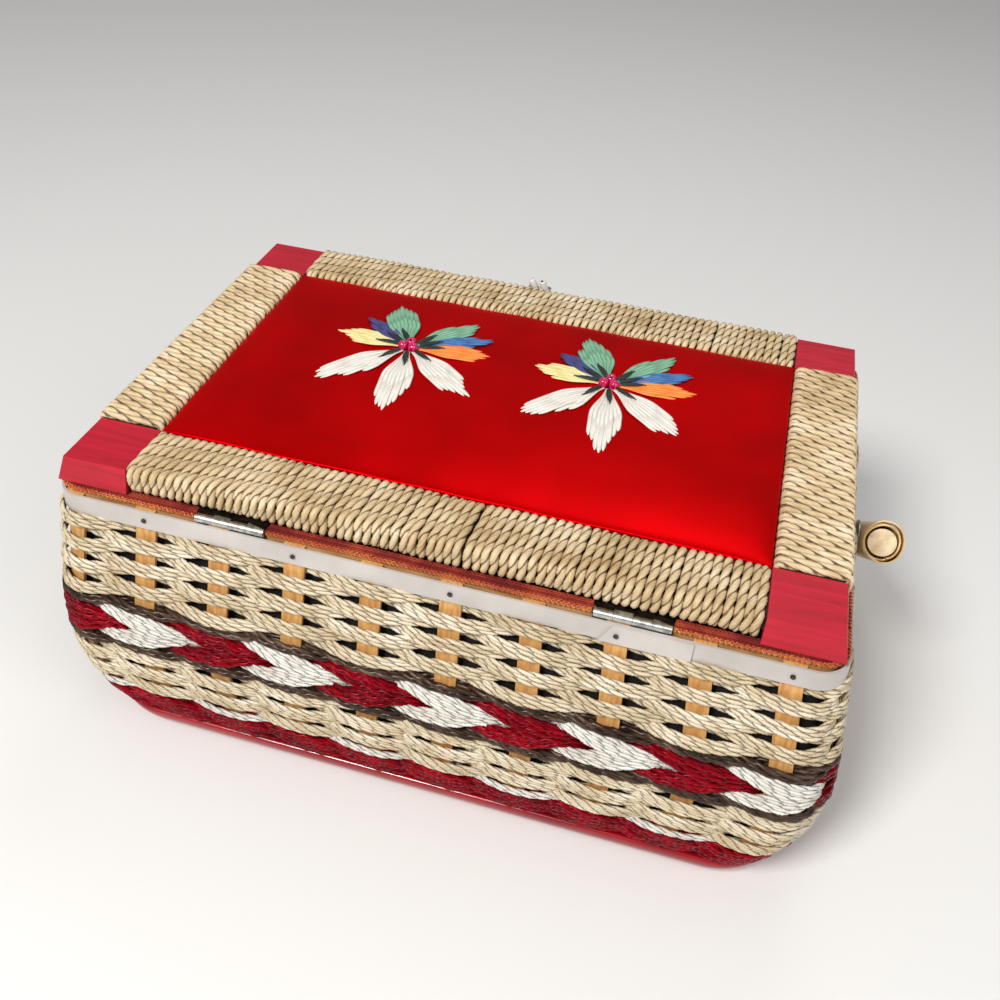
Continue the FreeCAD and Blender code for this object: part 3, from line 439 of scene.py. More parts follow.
# Painted shade: dark steel for the flat of the lid's hinge leaf
leafShadeSteel = steelMaterial("leafShadeSteel", (30, 24, 20), (60, 50, 42), 0.65)
hingeSteel = steelMaterial("hingeSteel", (150, 150, 146), (206, 206, 202), 0.38)
print("materials: woods, cords, satin, vinyl and steel")


# Woven rows
# press: how strongly painted shade darkens the sides where cords lie together
strawPly = {"lay": 10.8 * mm, "sides": 8, "groove": 0.36, "sharp": 3, "press": 0.75}
glossPly = {"lay": 14.0 * mm, "sides": 8, "groove": 0.38, "sharp": 3, "press": 0.6}
yarns = {
    "natural": {"material": naturalCord, "slot": "natural_cord", "ply": strawPly},
    "white": {"material": whiteCord, "slot": "white_cord", "ply": strawPly},
    "crimson": {"material": crimsonCord, "slot": "crimson_cord", "ply": glossPly},
    "brown": {"material": brownCord, "slot": "brown_cord", "ply": glossPly},
}
bundles = {
    "upper": {"cords": 3, "radius": 1.1 * mm, "fan": 1.1},
    "lower": {"cords": 4, "radius": 1.02 * mm, "fan": 1.3},
    "edging": {"cords": 2, "radius": 1.05 * mm, "fan": 1.1},
    "arrowWhite": {"cords": 5, "radius": 1.04 * mm},
    "arrowCrimson": {"cords": 4, "radius": 1.24 * mm},
    "brown": {"cords": 2, "radius": 1.3 * mm},
    "foot": {"cords": 4, "radius": 1.22 * mm},
}
weave = {
    "upperRows": 7, "lowerRows": 5, "step": 1.2 * mm, "tones": (0.38, 0.62),
    "hug": 0.22,  # how flat a row lies on a stake
    "frontFan": 0.16,  # cords spread in front of a stake and close up behind it
    "twineSqueeze": 0.5, "twineOut": 0.45,  # twined cords where they pass each other
    "drift": (0.4 * mm, 48), "stray": (0.34 * mm, 90), "sway": (0.3 * mm, 60),  # size, and limit of waves
    "fewestWaves": 3, "wavesMixed": 5,
}
rowCount = int(4 * (wall["halfLength"] + wall["halfDepth"]) / weave["step"])


def wander(size, mostWaves):
    # Slow uneven drift that closes on itself
    turn = np.linspace(0, fullTurn, rowCount, endpoint=False)
    drift = np.zeros(rowCount)
    for wave in rng.integers(weave["fewestWaves"], mostWaves, weave["wavesMixed"]):
        drift += np.cos(wave * turn + rng.uniform(0, fullTurn)) / weave["wavesMixed"]
    return size * drift


def weaverPath(weaver, cord):
    share = np.arange(rowCount) / rowCount
    step = share * wall["stakes"] - wall["firstStake"]
    index = np.floor(step).astype(int)
    part = step - index
    front = np.where(index % 2 == 0, weaver["front"], -weaver["front"])
    swing = np.cos(np.pi * part)
    out = front * wall["weaveOut"] * swing * (1 + weave["hug"] * (1 - swing ** 2))
    spread = (weaver["high"] - weaver["low"]) / 2
    middle = (weaver["high"] + weaver["low"]) / 2
    place = (2 * cord + 1) / weaver["cords"] - 1
    if weaver["twist"]:
        squeeze = np.sin(np.pi * part) ** 2
        over = np.where(front * weaver["twist"] < 0, 1, -1)
        z = middle + over * squeeze * spread / 2 + place * spread * (1 - weave["twineSqueeze"] * squeeze)
        out = out + (-1) ** cord * weave["twineOut"] * weaver["radius"] * squeeze
    else:
        fan = weaver["fan"] + weave["frontFan"] * front * swing
        z = middle + place * spread * fan + weaver["drift"] + wander(*weave["stray"])
        out = out + wander(*weave["sway"])
    points, outward = wallStation(share, z)
    return points + outward * out[:, None]


def weaverAt(node, front, bundle, twist=0, low=0.0, high=1.0):
    # One weaver in a share of its node's height; front tells which side of the first stake it passes
    bottom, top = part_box(node)[0].z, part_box(node)[1].z
    return dict(bundles[bundle], front=front, twist=twist,
                low=bottom + (top - bottom) * low, high=bottom + (top - bottom) * high)


def wovenPiece(name, weavers, yarnName):
    yarn = yarns[yarnName]
    surfaces = []
    for weaver in weavers:
        weaver["drift"] = wander(*weave["drift"])
        for cord in range(weaver["cords"]):
            points = weaverPath(weaver, cord)
            start = rng.uniform(0, fullTurn)
            tone = rng.uniform(*weave["tones"])
            surfaces.append(twistedCord(points, zUp, weaver["radius"], yarn["ply"], True, start, tone))
    meshPiece(name + "_cords", surfaces, yarn["material"], "basket", [name])


def footRow():
    # Two pairs of weavers, one above the other
    weavers = []
    for low in (0.0, 0.5):
        for front in (1, -1):
            weavers.append(weaverAt("twine_crimson", front, "foot", 1, low, low + 0.5))
    wovenPiece("twine_crimson", weavers, "crimson")


for row in range(weave["upperRows"]):
    node = f"weave_upper_{row + 1}"
    wovenPiece(node, [weaverAt(node, (-1) ** (row + 1), "upper")], "natural")
for row in range(weave["lowerRows"]):
    node = f"weave_lower_{row + 1}"
    wovenPiece(node, [weaverAt(node, (-1) ** row, "lower")], "natural")
wovenPiece("edging_white", [weaverAt("edging_white", -1, "edging")], "white")
for level, twist in (("upper", 1), ("lower", -1)):
    node = f"arrow_white_{level}"
    wovenPiece(node, [weaverAt(node, 1, "arrowWhite", twist)], "white")
    node = f"arrow_crimson_{level}"
    wovenPiece(node, [weaverAt(node, -1, "arrowCrimson", twist)], "crimson")
    node = f"twine_brown_{level}"
    wovenPiece(node, [weaverAt(node, front, "brown", 1) for front in (1, -1)], "brown")
footRow()
print("woven rows: plain, arrow, brown, edging and foot rows")


# Lacquered bar round the foot
foot = {
    "high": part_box("foot_hoop")[1].z, "inner": 0.95 * mm, "outer": 3.95 * mm,
    "round": 0.9 * mm, "bulge": 1.3 * mm, "fullness": 0.7, "levels": 11, "count": 420,
}


def footBar():
    share = np.arange(foot["count"]) / foot["count"]
    part = np.linspace(0, 1, foot["levels"])
    swell = np.sin(np.pi * part) ** foot["fullness"]
    reach = foot["outer"] - foot["round"] + (foot["round"] + foot["bulge"]) * swell
    heights = np.concatenate([[0], part, [1]]) * foot["high"]
    reach = np.concatenate([[foot["inner"]], reach, [foot["inner"]]])
    points, outward = wallStation(share[:, None], heights[None, :])
    surface = gridSurface(points + outward * reach[None, :, None], True, True)
    meshPiece("foot_bar", [surface], crimsonLacquer, "basket", ["foot_hoop"], weld=True)


footBar()
print("foot: lacquered bar")


# Cord wound round the lid rails
# Each winding's press sets the painted shade where its turns lie together
windings = {
    "long": {
        "turns": 70, "fat": 0.55,
        "ply": {"lay": 13.0 * mm, "sides": 8, "groove": 0.34, "sharp": 4, "press": 0.7},
    },
    "short": {
        "turns": 43, "fat": 0.49,
        "ply": {"lay": 18.2 * mm, "sides": 8, "groove": 0.24, "sharp": 5, "press": 0.95},
    },
    "corner": 1.2 * mm, "step": 0.95 * mm, "jitter": 0.16 * mm,
}


def railWinding(side):
    node = f"rail_winding_{side}"
    low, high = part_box(node)
    alongX = side in longSides
    winding = windings["long" if alongX else "short"]
    span = (high.x - low.x) if alongX else (high.y - low.y)
    across = (high.y - low.y) if alongX else (high.x - low.x)
    turns = winding["turns"]
    corner = windings["corner"]
    radius = winding["fat"] * span / turns
    tall = high.z - low.z - 2 * radius
    wide = across - 2 * radius
    count = int(turns * 2 * (tall + wide) / windings["step"])
    turn = np.linspace(0.5, turns + 0.5, count)  # starts and ends under the rail
    u, drop, _ = walkRound(wide / 2 - corner, tall / 2 - corner, corner, turn, 0.0)
    uneven = np.interp(turn, np.arange(turns + 2), rng.normal(0, windings["jitter"], turns + 2))
    along = ((turn - 1) / (turns - 1) - 0.5) * (span - 2 * radius) + uneven
    along = np.clip(along, radius - span / 2, span / 2 - radius)
    middle = (low + high) / 2
    if alongX:
        points = np.stack([middle.x + along, middle.y + u, middle.z - drop], axis=-1)
        axis = np.array([1.0, 0, 0])
    else:
        points = np.stack([middle.x + u, middle.y + along, middle.z - drop], axis=-1)
        axis = np.array([0, 1.0, 0])
    cord = twistedCord(points, axis, radius, winding["ply"], False)
    meshPiece(node + "_cord", [cord], windingCord, "lid", [node], fill=True)


for side in longSides + shortSides:
    railWinding(side)
print("lid rails: wound cord")


# Padded satin panel
padLow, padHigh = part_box("satin_pad")
pad = {
    "halfX": padHigh.x, "halfY": padHigh.y, "base": padLow.z, "top": padHigh.z,
    "edge": 6.5 * mm, "spare": 0.4 * mm, "columns": 190, "rows": 120,
    "squareX": 14, "squareY": 7, "shoulder": 0.6, "crown": 0.38,
}
ripple = {
    "size": 0.14 * mm, "x": 19 * mm, "y": 15 * mm,
    "bend": 1.3, "bendEvery": 23 * mm, "slant": 41 * mm, "shift": 0.8,
}
drag = {"size": 0.16 * mm, "fade": 14 * mm, "bend": 2, "x": (6.5 * mm, 31 * mm), "y": (6.0 * mm, 27 * mm)}


def padHeight(x, y):
    # Full against the rails with a rounded shoulder, a low crown and soft unevenness
    u = np.clip(np.abs(x) / pad["halfX"], 0, 1)
    v = np.clip(np.abs(y) / pad["halfY"], 0, 1)
    shoulder = ((1 - u ** pad["squareX"]) * (1 - v ** pad["squareY"])) ** pad["shoulder"]
    crown = (1 - pad["crown"]) * shoulder + pad["crown"] * (1 - u ** 2) * (1 - v ** 2)
    lengthwise = np.sin(x / ripple["x"] + ripple["bend"] * np.sin(y / ripple["bendEvery"]))
    crosswise = np.sin(y / ripple["y"] + x / ripple["slant"] + ripple["shift"])
    rise = pad["top"] - pad["base"] - pad["edge"] - pad["spare"]
    return pad["base"] + pad["edge"] + rise * crown + ripple["size"] * (lengthwise + crosswise) * shoulder


def satinPad():
    u = edgeSpaced(pad["columns"])
    v = edgeSpaced(pad["rows"])
    x, y = np.meshgrid(u * pad["halfX"], v * pad["halfY"], indexing="ij")
    z = padHeight(x, y)
    # Faint drag lines where the cloth is pulled over the edge
    edges = ((x, pad["halfY"] - np.abs(y), drag["x"]), (y, pad["halfX"] - np.abs(x), drag["y"]))
    for along, fromEdge, (pitch, bendEvery) in edges:
        pull = np.exp(-fromEdge / drag["fade"])
        z = z + drag["size"] * pull * np.sin(along / pitch + drag["bend"] * np.sin(along / bendEvery))
    top = np.stack([x, y, np.minimum(z, pad["top"])], axis=-1)
    under = np.stack([x, y, np.full_like(z, pad["base"])], axis=-1)
    piece = closedPanel("satin_cushion", top, under, redSatin, "lid", "satin_pad")


satinPad()


# Straw flowers on the satin
def strawMaterial(name, dark, light):
    material, shader = newMaterial(name, 0.42)
    fibre = noise(material, uvPlace(material), scale=2.0, detail=4.0, stretch=(0.12, 3.0, 1.0))
    colourAndRelief(material, shader, fibre, [(0.32, dark), (0.66, light)], 0.3, 0.2 * mm)
    return material


straws = {
    "ivory": strawMaterial("ivoryStraw", (206, 198, 182), (244, 240, 230)),
    "yellow": strawMaterial("yellowStraw", (222, 200, 120), (248, 236, 176)),
    "navy": strawMaterial("navyStraw", (44, 42, 92), (84, 82, 140)),
    "blue": strawMaterial("blueStraw", (30, 70, 134), (80, 136, 194)),
    "green": strawMaterial("greenStraw", (86, 140, 106), (146, 194, 160)),
    "orange": strawMaterial("orangeStraw", (236, 108, 26), (255, 160, 72)),
    "dart": strawMaterial("dartStraw", (16, 24, 20), (44, 56, 48)),
}
# Angles are in degrees, lengths and widths in millimetres
petals = [
    {"colour": "ivory", "angle": 50, "length": 41, "width": 13, "straws": 8, "skew": 1.0},
    {"colour": "ivory", "angle": 97, "length": 44, "width": 13, "straws": 8, "skew": 0.6},
    {"colour": "ivory", "angle": 142, "length": 41, "width": 13, "straws": 8, "skew": 0.0},
    {"colour": "orange", "angle": 189, "length": 34, "width": 11, "straws": 7, "skew": 0.3},
    {"colour": "blue", "angle": 210, "length": 37, "width": 8, "straws": 6, "skew": 0.0},
    {"colour": "green", "angle": 232, "length": 37, "width": 10, "straws": 6, "skew": 0.3},
    {"colour": "green", "angle": 296, "length": 35, "width": 14, "straws": 8, "skew": 0.2},
    {"colour": "navy", "angle": 324, "length": 30, "width": 8, "straws": 6, "skew": 0.0},
    {"colour": "yellow", "angle": 354, "length": 32, "width": 11, "straws": 7, "skew": 0.3},
]
flower = {
    "places": ((42.7 * mm, -15.9 * mm), (-39.3 * mm, -18.2 * mm)), "heart": 3.0 * mm,
    "thick": 0.28 * mm, "section": ((-0.5, 0.1), (-0.3, 0.9), (0.3, 0.9), (0.5, 0.1), (0.0, -0.4)),
    "samples": 18, "rounding": 0.3, "roundSharp": 1.2, "skew": 0.16, "ragged": (-0.06, 0.04),
    "spreadBy": 0.45, "root": 0.16, "close": 0.94, "overlap": 1.25, "rootWidth": 0.3,
    "tip": 0.1, "blunt": 0.04, "rise": 0.45 * mm, "lie": 0.6, "arch": 1.2,
    "stagger": 0.14 * mm, "loose": 0.1 * mm,
}
dart = {
    "from": 4.5 * mm, "to": 14.5 * mm, "shorter": 0.86, "width": 1.4 * mm, "narrowest": 0.2 * mm,
    "root": 0.16, "fullness": 0.6, "apart": 0.5 * mm, "curl": 0.5 * mm, "lift": 1.35 * mm, "arch": 0.25 * mm,
    "turn": 2, "samples": 11,
}
bead = {
    "count": 3, "radius": 2.1 * mm, "ring": 2.45 * mm, "lift": 1.8 * mm, "hole": 0.5 * mm, "boreEnd": 0.8,
    "firstAngle": 25, "firstTilt": 0.5, "sides": 20, "levels": 11, "boreLevels": 3,
}
beadGloss = plainMaterial("beadGloss", (170, 4, 66), (214, 24, 96), 0.16, 900.0, 0.8, 0.02)


def strawStitch(centre, degrees, offsets, along, widths, lift):
    # A flat straw laid on the satin along one line, with a thin closed section
    angle = math.radians(degrees)
    direction = np.array([math.cos(angle), math.sin(angle)])
    normal = np.array([-direction[1], direction[0]])
    rows = []
    for distance, offset, width, rise in zip(along, offsets, widths, lift):
        ring = []
        for across, thick in flower["section"]:
            x, y = centre + direction * distance + normal * (offset + across * width)
            ring.append((x, y, float(padHeight(x, y)) + rise + thick * flower["thick"]))
        rows.append(ring)
    return gridSurface(np.array(rows), False, True, (1.0, 1 / len(flower["section"])))


def petalStraws(centre, petal):
    # Straws fan out from the heart, then run side by side to staggered ends
    surfaces = []
    length = petal["length"] * mm - flower["heart"]
    width = petal["width"] * mm
    part = np.linspace(0, 1, flower["samples"])
    nearTip = np.clip(part - (1 - flower["tip"]), 0, flower["tip"]) / flower["tip"]
    tip = np.sqrt(np.clip(1 - nearTip ** 2, flower["blunt"], 1))
    arch = flower["lie"] + flower["arch"] * np.sin(np.pi * part)
    for straw in range(petal["straws"]):
        place = (2 * straw + 1) / petal["straws"] - 1
        rounding = flower["rounding"] * abs(place) ** flower["roundSharp"]
        reach = 1 - rounding - flower["skew"] * petal["skew"] * place + rng.uniform(*flower["ragged"])
        along = part * reach
        opening = np.clip(along / flower["spreadBy"], 0, 1)
        fan = flower["root"] + (1 - flower["root"]) * opening * opening * (3 - 2 * opening)
        offsets = width / 2 * place * fan * flower["close"]
        widening = flower["rootWidth"] + (1 - flower["rootWidth"]) * fan
        widths = width / petal["straws"] * flower["overlap"] * widening * tip
        lift = flower["rise"] * arch + flower["stagger"] * (straw % 2) + rng.uniform(0, flower["loose"])
        along = flower["heart"] + along * length
        surfaces.append(strawStitch(centre, petal["angle"], offsets, along, widths, lift))
    return surfaces


def dartStraws(centre, petal):
    # A short dark leaf of two straws over the root of each petal
    part = np.linspace(0, 1, dart["samples"])
    leaf = np.sin(np.pi * (dart["root"] + (1 - dart["root"]) * part)) ** dart["fullness"]
    widths = np.maximum(dart["width"] * leaf, dart["narrowest"])
    lift = dart["lift"] + dart["arch"] * np.sin(np.pi * part)
    surfaces = []
    for side, reach in ((-1, dart["shorter"]), (1, 1)):
        along = dart["from"] + part * (dart["to"] - dart["from"]) * reach
        offsets = side * dart["apart"] * leaf + dart["curl"] * part ** 2
        surfaces.append(strawStitch(centre, petal["angle"] + dart["turn"], offsets, along, widths, lift))
    return surfaces


def beadSurface(centre, tilt):
    # A round bead with the hole its thread goes through
    around = ringAngles(bead["sides"])
    ends = math.asin(bead["hole"] / bead["radius"])
    rise = np.linspace(ends, np.pi - ends, bead["levels"])
    bore = np.linspace(-bead["boreEnd"], bead["boreEnd"], bead["boreLevels"])
    reach = np.concatenate([bead["radius"] * np.sin(rise), np.full(bead["boreLevels"], bead["hole"])])
    level = np.concatenate([bead["radius"] * np.cos(rise), bead["radius"] * bore])
    ring = np.stack([np.outer(np.cos(around), reach), np.outer(np.sin(around), reach),
                     np.broadcast_to(level, (bead["sides"], len(level)))], axis=-1)
    turn = np.array(Matrix.Rotation(tilt, 3, "X"))
    return gridSurface(ring @ turn.T + centre, True, True)


def strawFlower(name, centre):
    centre = np.array(centre)
    for colour in straws:
        if colour == "dart":
            surfaces = [s for petal in petals for s in dartStraws(centre, petal)]
        else:
            chosen = [petal for petal in petals if petal["colour"] == colour]
            surfaces = [s for petal in chosen for s in petalStraws(centre, petal)]
        meshPiece(f"{name}_{colour}", surfaces, straws[colour], "lid", (), fill=True)
    beads = []
    for turn in range(bead["count"]):
        angle = math.radians(bead["firstAngle"] + 360 * turn / bead["count"])
        x, y = centre + bead["ring"] * np.array([math.cos(angle), math.sin(angle)])
        z = float(padHeight(x, y)) + bead["lift"]
        beads.append(beadSurface(np.array([x, y, z]), bead["firstTilt"] + turn))
    meshPiece(f"{name}_beads", beads, beadGloss, "lid", ())


for count, centre in enumerate(flower["places"]):
    strawFlower(f"flower_{count + 1}", centre)
print("lid panel: satin cushion, straw flowers and beads")


# Gimp braid on the rim hoop
gimp = {
    "base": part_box("gimp_braid")[0].z, "step": 0.5 * mm, "tones": (0.4, 0.6),
    "hingePlace": 69.7 * mm, "hingeReach": 13.2 * mm,
    "ridges": (4.9 * mm, 3.9 * mm, 2.9 * mm, 1.9 * mm), "ridgeRadius": 0.56 * mm, "ridgeRise": 0.55 * mm,
    "ridgeWave": 0.06 * mm, "ridgeWaveEvery": 9 * mm,
    "ridgePly": {"lay": 2.6 * mm, "sides": 8, "groove": 0.42, "sharp": 2, "press": 0},
    "strands": 2, "edge": 0.8 * mm, "edgeSwing": 0.85 * mm, "edgeRadius": 0.4 * mm, "edgeRise": 0.42 * mm,
    "edgeWave": 0.12 * mm, "scallop": 3.3 * mm, "uneven": 0.7, "unevenEvery": 13 * mm,
    "edgePly": {"lay": 1.9 * mm, "sides": 6, "groove": 0.3, "sharp": 2, "press": 0},
}
gimpCrimson = cordMaterial("gimpCrimson", (70, 8, 8), (124, 22, 18), (192, 82, 48), 0.8,
                           grooveShade=(90, 50, 50), relief=0.2)
gimpOrange = cordMaterial("gimpOrange", (168, 60, 34), (212, 98, 54), (240, 164, 92), 0.75,
                          grooveShade=(130, 80, 64), relief=0.2)


def gimpRuns():
    # The braid stops on each side of the two hinges
    first = (gimp["hingePlace"] - gimp["hingeReach"]) / rimGirth
    second = (gimp["hingePlace"] + gimp["hingeReach"]) / rimGirth
    runs = []
    for start, end in ((-first, first), (second, 1 - second)):
        share = np.linspace(start, end, int((end - start) * rimGirth / gimp["step"]))
        points, outward = wallStation(share % 1.0, np.full(len(share), wall["top"]))
        points[:, 2] = gimp["base"]
        runs.append((points, outward, share * rimGirth))
    return runs


def gimpBraid():
    # Ridges twisted left and right in turn read as chain stitch, and two looping strands scallop the edge
    ridges = []
    scallops = []
    for points, outward, run in gimpRuns():
        for count, inset in enumerate(gimp["ridges"]):
            ply = dict(gimp["ridgePly"], lay=gimp["ridgePly"]["lay"] * (-1) ** count)
            rise = gimp["ridgeRise"] + gimp["ridgeWave"] * np.sin(run / gimp["ridgeWaveEvery"] + count)
            path = points - outward * inset + zUp * rise[:, None]
            tone = rng.uniform(*gimp["tones"])
            ridges.append(twistedCord(path, zUp, gimp["ridgeRadius"], ply, False, count, tone))
        for strand in range(gimp["strands"]):
            uneven = gimp["uneven"] * np.sin(run / gimp["unevenEvery"])
            phase = fullTurn * run / gimp["scallop"] + np.pi * strand + uneven
            reach = gimp["edgeSwing"] * np.sin(phase) - gimp["edge"]
            rise = gimp["edgeRise"] + gimp["edgeWave"] * np.cos(phase)
            path = points + outward * reach[:, None] + zUp * rise[:, None]
            tone = rng.uniform(*gimp["tones"])
            scallops.append(twistedCord(path, zUp, gimp["edgeRadius"], gimp["edgePly"], False, strand, tone))
    meshPiece("gimp_ridges", ridges, gimpCrimson, "basket", ["gimp_braid"], fill=True)
    meshPiece("gimp_scallops", scallops, gimpOrange, "basket", (), fill=True)


gimpBraid()
print("rim: gimp braid")


# Carrying handle
handlePivot = Vector(next(j for j in frame["joints"] if j["name"] == "handle_swing")["pos_m"])
handle = {
    "halfSpan": 154 * mm, "splay": 7 * mm, "reach": 124 * mm, "stub": 12 * mm, "slope": math.radians(39),
    "bend": 38 * mm, "bendSteps": 12, "samples": 700, "perTurn": 22,
    "pitch": 6.2 * mm, "width": 6.9 * mm, "outer": 8.0 * mm,
    # Each turn laps the one before it: the section is tilted (share of the width, depth in millimetres)
    "section": ((-0.5, -1.6), (-0.42, -0.75), (0.3, -0.05), (0.5, -0.25), (0.42, -1.1)),
}
legDrop = (-math.cos(handle["slope"]), -math.sin(handle["slope"]))
handleFlat = np.array([0, -legDrop[1], legDrop[0]])  # square to the plane of the bow


def handlePath():
    # Stub, knee, knee, stub, with the knees bent to a radius
    corners = []
    for end in (-1, 1):
        across = Vector((end * handle["halfSpan"], 0, 0))
        leg = Vector((end * handle["splay"] / handle["reach"], *legDrop))
        pair = [handlePivot + across - leg * handle["stub"], handlePivot + across + leg * handle["reach"]]
        corners += pair if end < 0 else pair[::-1]
    path = [corners[0]]
    for before, knee, after in zip(corners, corners[1:], corners[2:]):
        first = (before - knee).normalized()
        second = (after - knee).normalized()
        half = first.angle(second) / 2
        middle = knee + (first + second).normalized() * (handle["bend"] / math.sin(half))
        start = knee + first * (handle["bend"] / math.tan(half))
        axis = (start - middle).cross(-first)
        for step in range(handle["bendSteps"] + 1):
            turn = Matrix.Rotation((math.pi - 2 * half) * step / handle["bendSteps"], 3, axis)
            path.append(middle + turn @ (start - middle))
    path.append(corners[-1])
    return np.array([tuple(p) for p in path])


def caneWrap():
    path = handlePath()
    run = runAlong(path)
    total = run[-1]
    fine = np.linspace(0, total, handle["samples"])
    line = valuesAlong(fine, run, path)
    side, across = sweepFrames(line, handleFlat, False)
    turns = total / handle["pitch"]
    count = int(turns * handle["perTurn"])
    angle = np.linspace(0, fullTurn * turns, count)
    place = np.linspace(0, total, count)
    ring = []
    for shift, depth in handle["section"]:
        spot = np.clip(place + shift * handle["width"], 0, total)
        centre, sideAt, acrossAt = [valuesAlong(spot, fine, values) for values in (line, side, across)]
        out = np.cos(angle)[:, None] * sideAt + np.sin(angle)[:, None] * acrossAt
        ring.append(centre + out * (handle["outer"] + depth * mm))
    surface = gridSurface(np.stack(ring, axis=1), False, True, (1.0, 1 / len(ring)))
    meshPiece("cane_wrap", [surface], wrapCane, "handle", ["handle_wrap"], fill=True)


roll = {
    "turns": 1.8, "inner": 5.6 * mm, "outer": 8.5 * mm, "opening": 0.8, "thick": 0.6 * mm, "count": 64,
    "back": 6.0 * mm, "proud": 1.3 * mm, "taper": 0.8 * mm, "ragged": 0.5 * mm, "raggedWaves": 2.3,
    "wave": 0.22 * mm, "waves": 3, "press": 2.2 * mm, "phases": (0.4, 3.4), "uvStep": (0.6, 0.25),
}


def caneRolls():
    # The loose end of the cane is rolled round each stub
    path = handlePath()
    part = np.linspace(0, 1, roll["count"])
    surfaces = []
    for (end, before), phase in zip((path[:2], path[:-3:-1]), roll["phases"]):
        ahead = unit(end - before)
        side = unit(handleFlat - ahead * np.dot(ahead, handleFlat))
        across = np.cross(ahead, side)
        angle = fullTurn * roll["turns"] * part + phase
        out = np.cos(angle)[:, None] * side + np.sin(angle)[:, None] * across
        radius = roll["inner"] + (roll["outer"] - roll["inner"]) * part ** roll["opening"]
        radius = radius + roll["wave"] * np.sin(roll["waves"] * angle)
        besideWall = np.clip(-np.sign(end[0]) * out[:, 0], 0, 1) ** 2
        radius = radius - roll["press"] * part * besideWall
        ragged = roll["ragged"] * np.sin(roll["raggedWaves"] * angle + phase)
        edge = roll["proud"] + ragged - roll["taper"] * part
        back = np.full(roll["count"], -roll["back"])
        ring = []
        for thick, along in ((0, back), (0, edge), (roll["thick"], edge), (roll["thick"], back)):
            ring.append(end + out * (radius + thick)[:, None] + ahead * along[:, None])
        surfaces.append(gridSurface(np.stack(ring, axis=1), False, True, roll["uvStep"]))
    meshPiece("cane_rolls", surfaces, wrapCane, "handle", (), smooth=False, fill=True)


caneWrap()
caneRolls()
print("handle: cane wrap and its rolled ends")


# Bolts that the handle turns on, as distances from the middle of the box and radii in millimetres
bolt = {
    "head": {"sides": 24, "profile": ((160.5, 3.4), (162.5, 3.4), (163.1, 2.7), (163.4, 1.2))},
    "shank": {"sides": 16, "profile": ((130.6, 1.5), (131.2, 2.0), (161, 2.0))},
    "nut": {"sides": 6, "profile": ((131.5, 3.4), (132.0, 4.5), (134.6, 4.5))},
}


def pivotBolts():
    place = (0, handlePivot.y, handlePivot.z)
    surfaces = []
    for way in (-1, 1):
        for part in bolt.values():
            surfaces.append(latheSurface(part["profile"], part["sides"], place, way))
    meshPiece("pivot_screws", surfaces, hingeSteel, "basket", ["pivot_bolts"],
              smooth=False, fill=True)


pivotBolts()
print("handle: bolts")


# Satin lining over card, in the basket and under the lid
lining = {
    "outer": 4.1 * mm, "edge": 4.6 * mm, "full": 5.6 * mm, "joint": 0.02 * mm, "step": 3.0 * mm, "rows": 44,
    "gather": 0.16 * mm, "gatherPitch": 8.5 * mm, "gatherFade": 16 * mm, "fill": 0.25,
    "squareLong": 10, "squareTall": 8, "shoulder": 0.5,
}
card = {
    "columns": 90, "rows": 60, "floorCorner": 16 * mm, "lidCorner": 8 * mm,
    "edge": 0.35, "crown": 0.58, "ripple": 0.06,  # shares of the thickness
    "rippleX": 9, "rippleY": 7, "bend": 2, "bendY": 5,
}


def panelPuff(u, v):
    alongPanel = 1 - np.abs(u) ** lining["squareLong"]
    upPanel = 1 - np.abs(v) ** lining["squareTall"]
    return (alongPanel * upPanel) ** lining["shoulder"]


def liningWall(side, start, end):
    node = f"liner_{side}"
    low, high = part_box(node)
    joint = lining["joint"] / rimGirth
    share = np.linspace(start + joint, end - joint, int((end - start) * rimGirth / lining["step"]))
    share, z = np.meshgrid(share, np.linspace(low.z, high.z, lining["rows"]), indexing="ij")
    points, outward = wallStation(share % 1.0, z)
    u = 2 * (share - share[0, 0]) / (share[-1, 0] - share[0, 0]) - 1
    v = 2 * (z - low.z) / (high.z - low.z) - 1
    # The cloth is gathered a little under the braid and at the floor
    fade = np.exp(-(high.z - z) / lining["gatherFade"]) + np.exp(-(z - low.z) / lining["gatherFade"])
    gather = lining["gather"] * fade * np.sin(fullTurn * share * rimGirth / lining["gatherPitch"])
    depth = lining["edge"] + (lining["full"] - lining["edge"] + gather) * panelPuff(u, v)
    front = points - outward * depth[..., None]
    back = points - outward * lining["outer"]
    piece = closedPanel(f"lining_{side}", front, back, liningCloth, "basket", node)
    # The card's outer face, seen through the weave, is black
    paintFaces(piece.data, blackCardAndShade, lambda face: face.normal.xy.dot(face.center.xy) > 0)


def roundCorners(x, y, half, corner):
    # Draws a grid's corners in to a radius
    pastX = np.maximum(np.abs(x) - half.x + corner, 0)
    pastY = np.maximum(np.abs(y) - half.y + corner, 0)
    shrink = np.maximum(pastX, pastY) / np.maximum(np.hypot(pastX, pastY), 1e-9)
    shrink = np.where((pastX > 0) & (pastY > 0), shrink, 1.0)
    x = np.sign(x) * (np.abs(x) - pastX * (1 - shrink))
    y = np.sign(y) * (np.abs(y) - pastY * (1 - shrink))
    return x, y


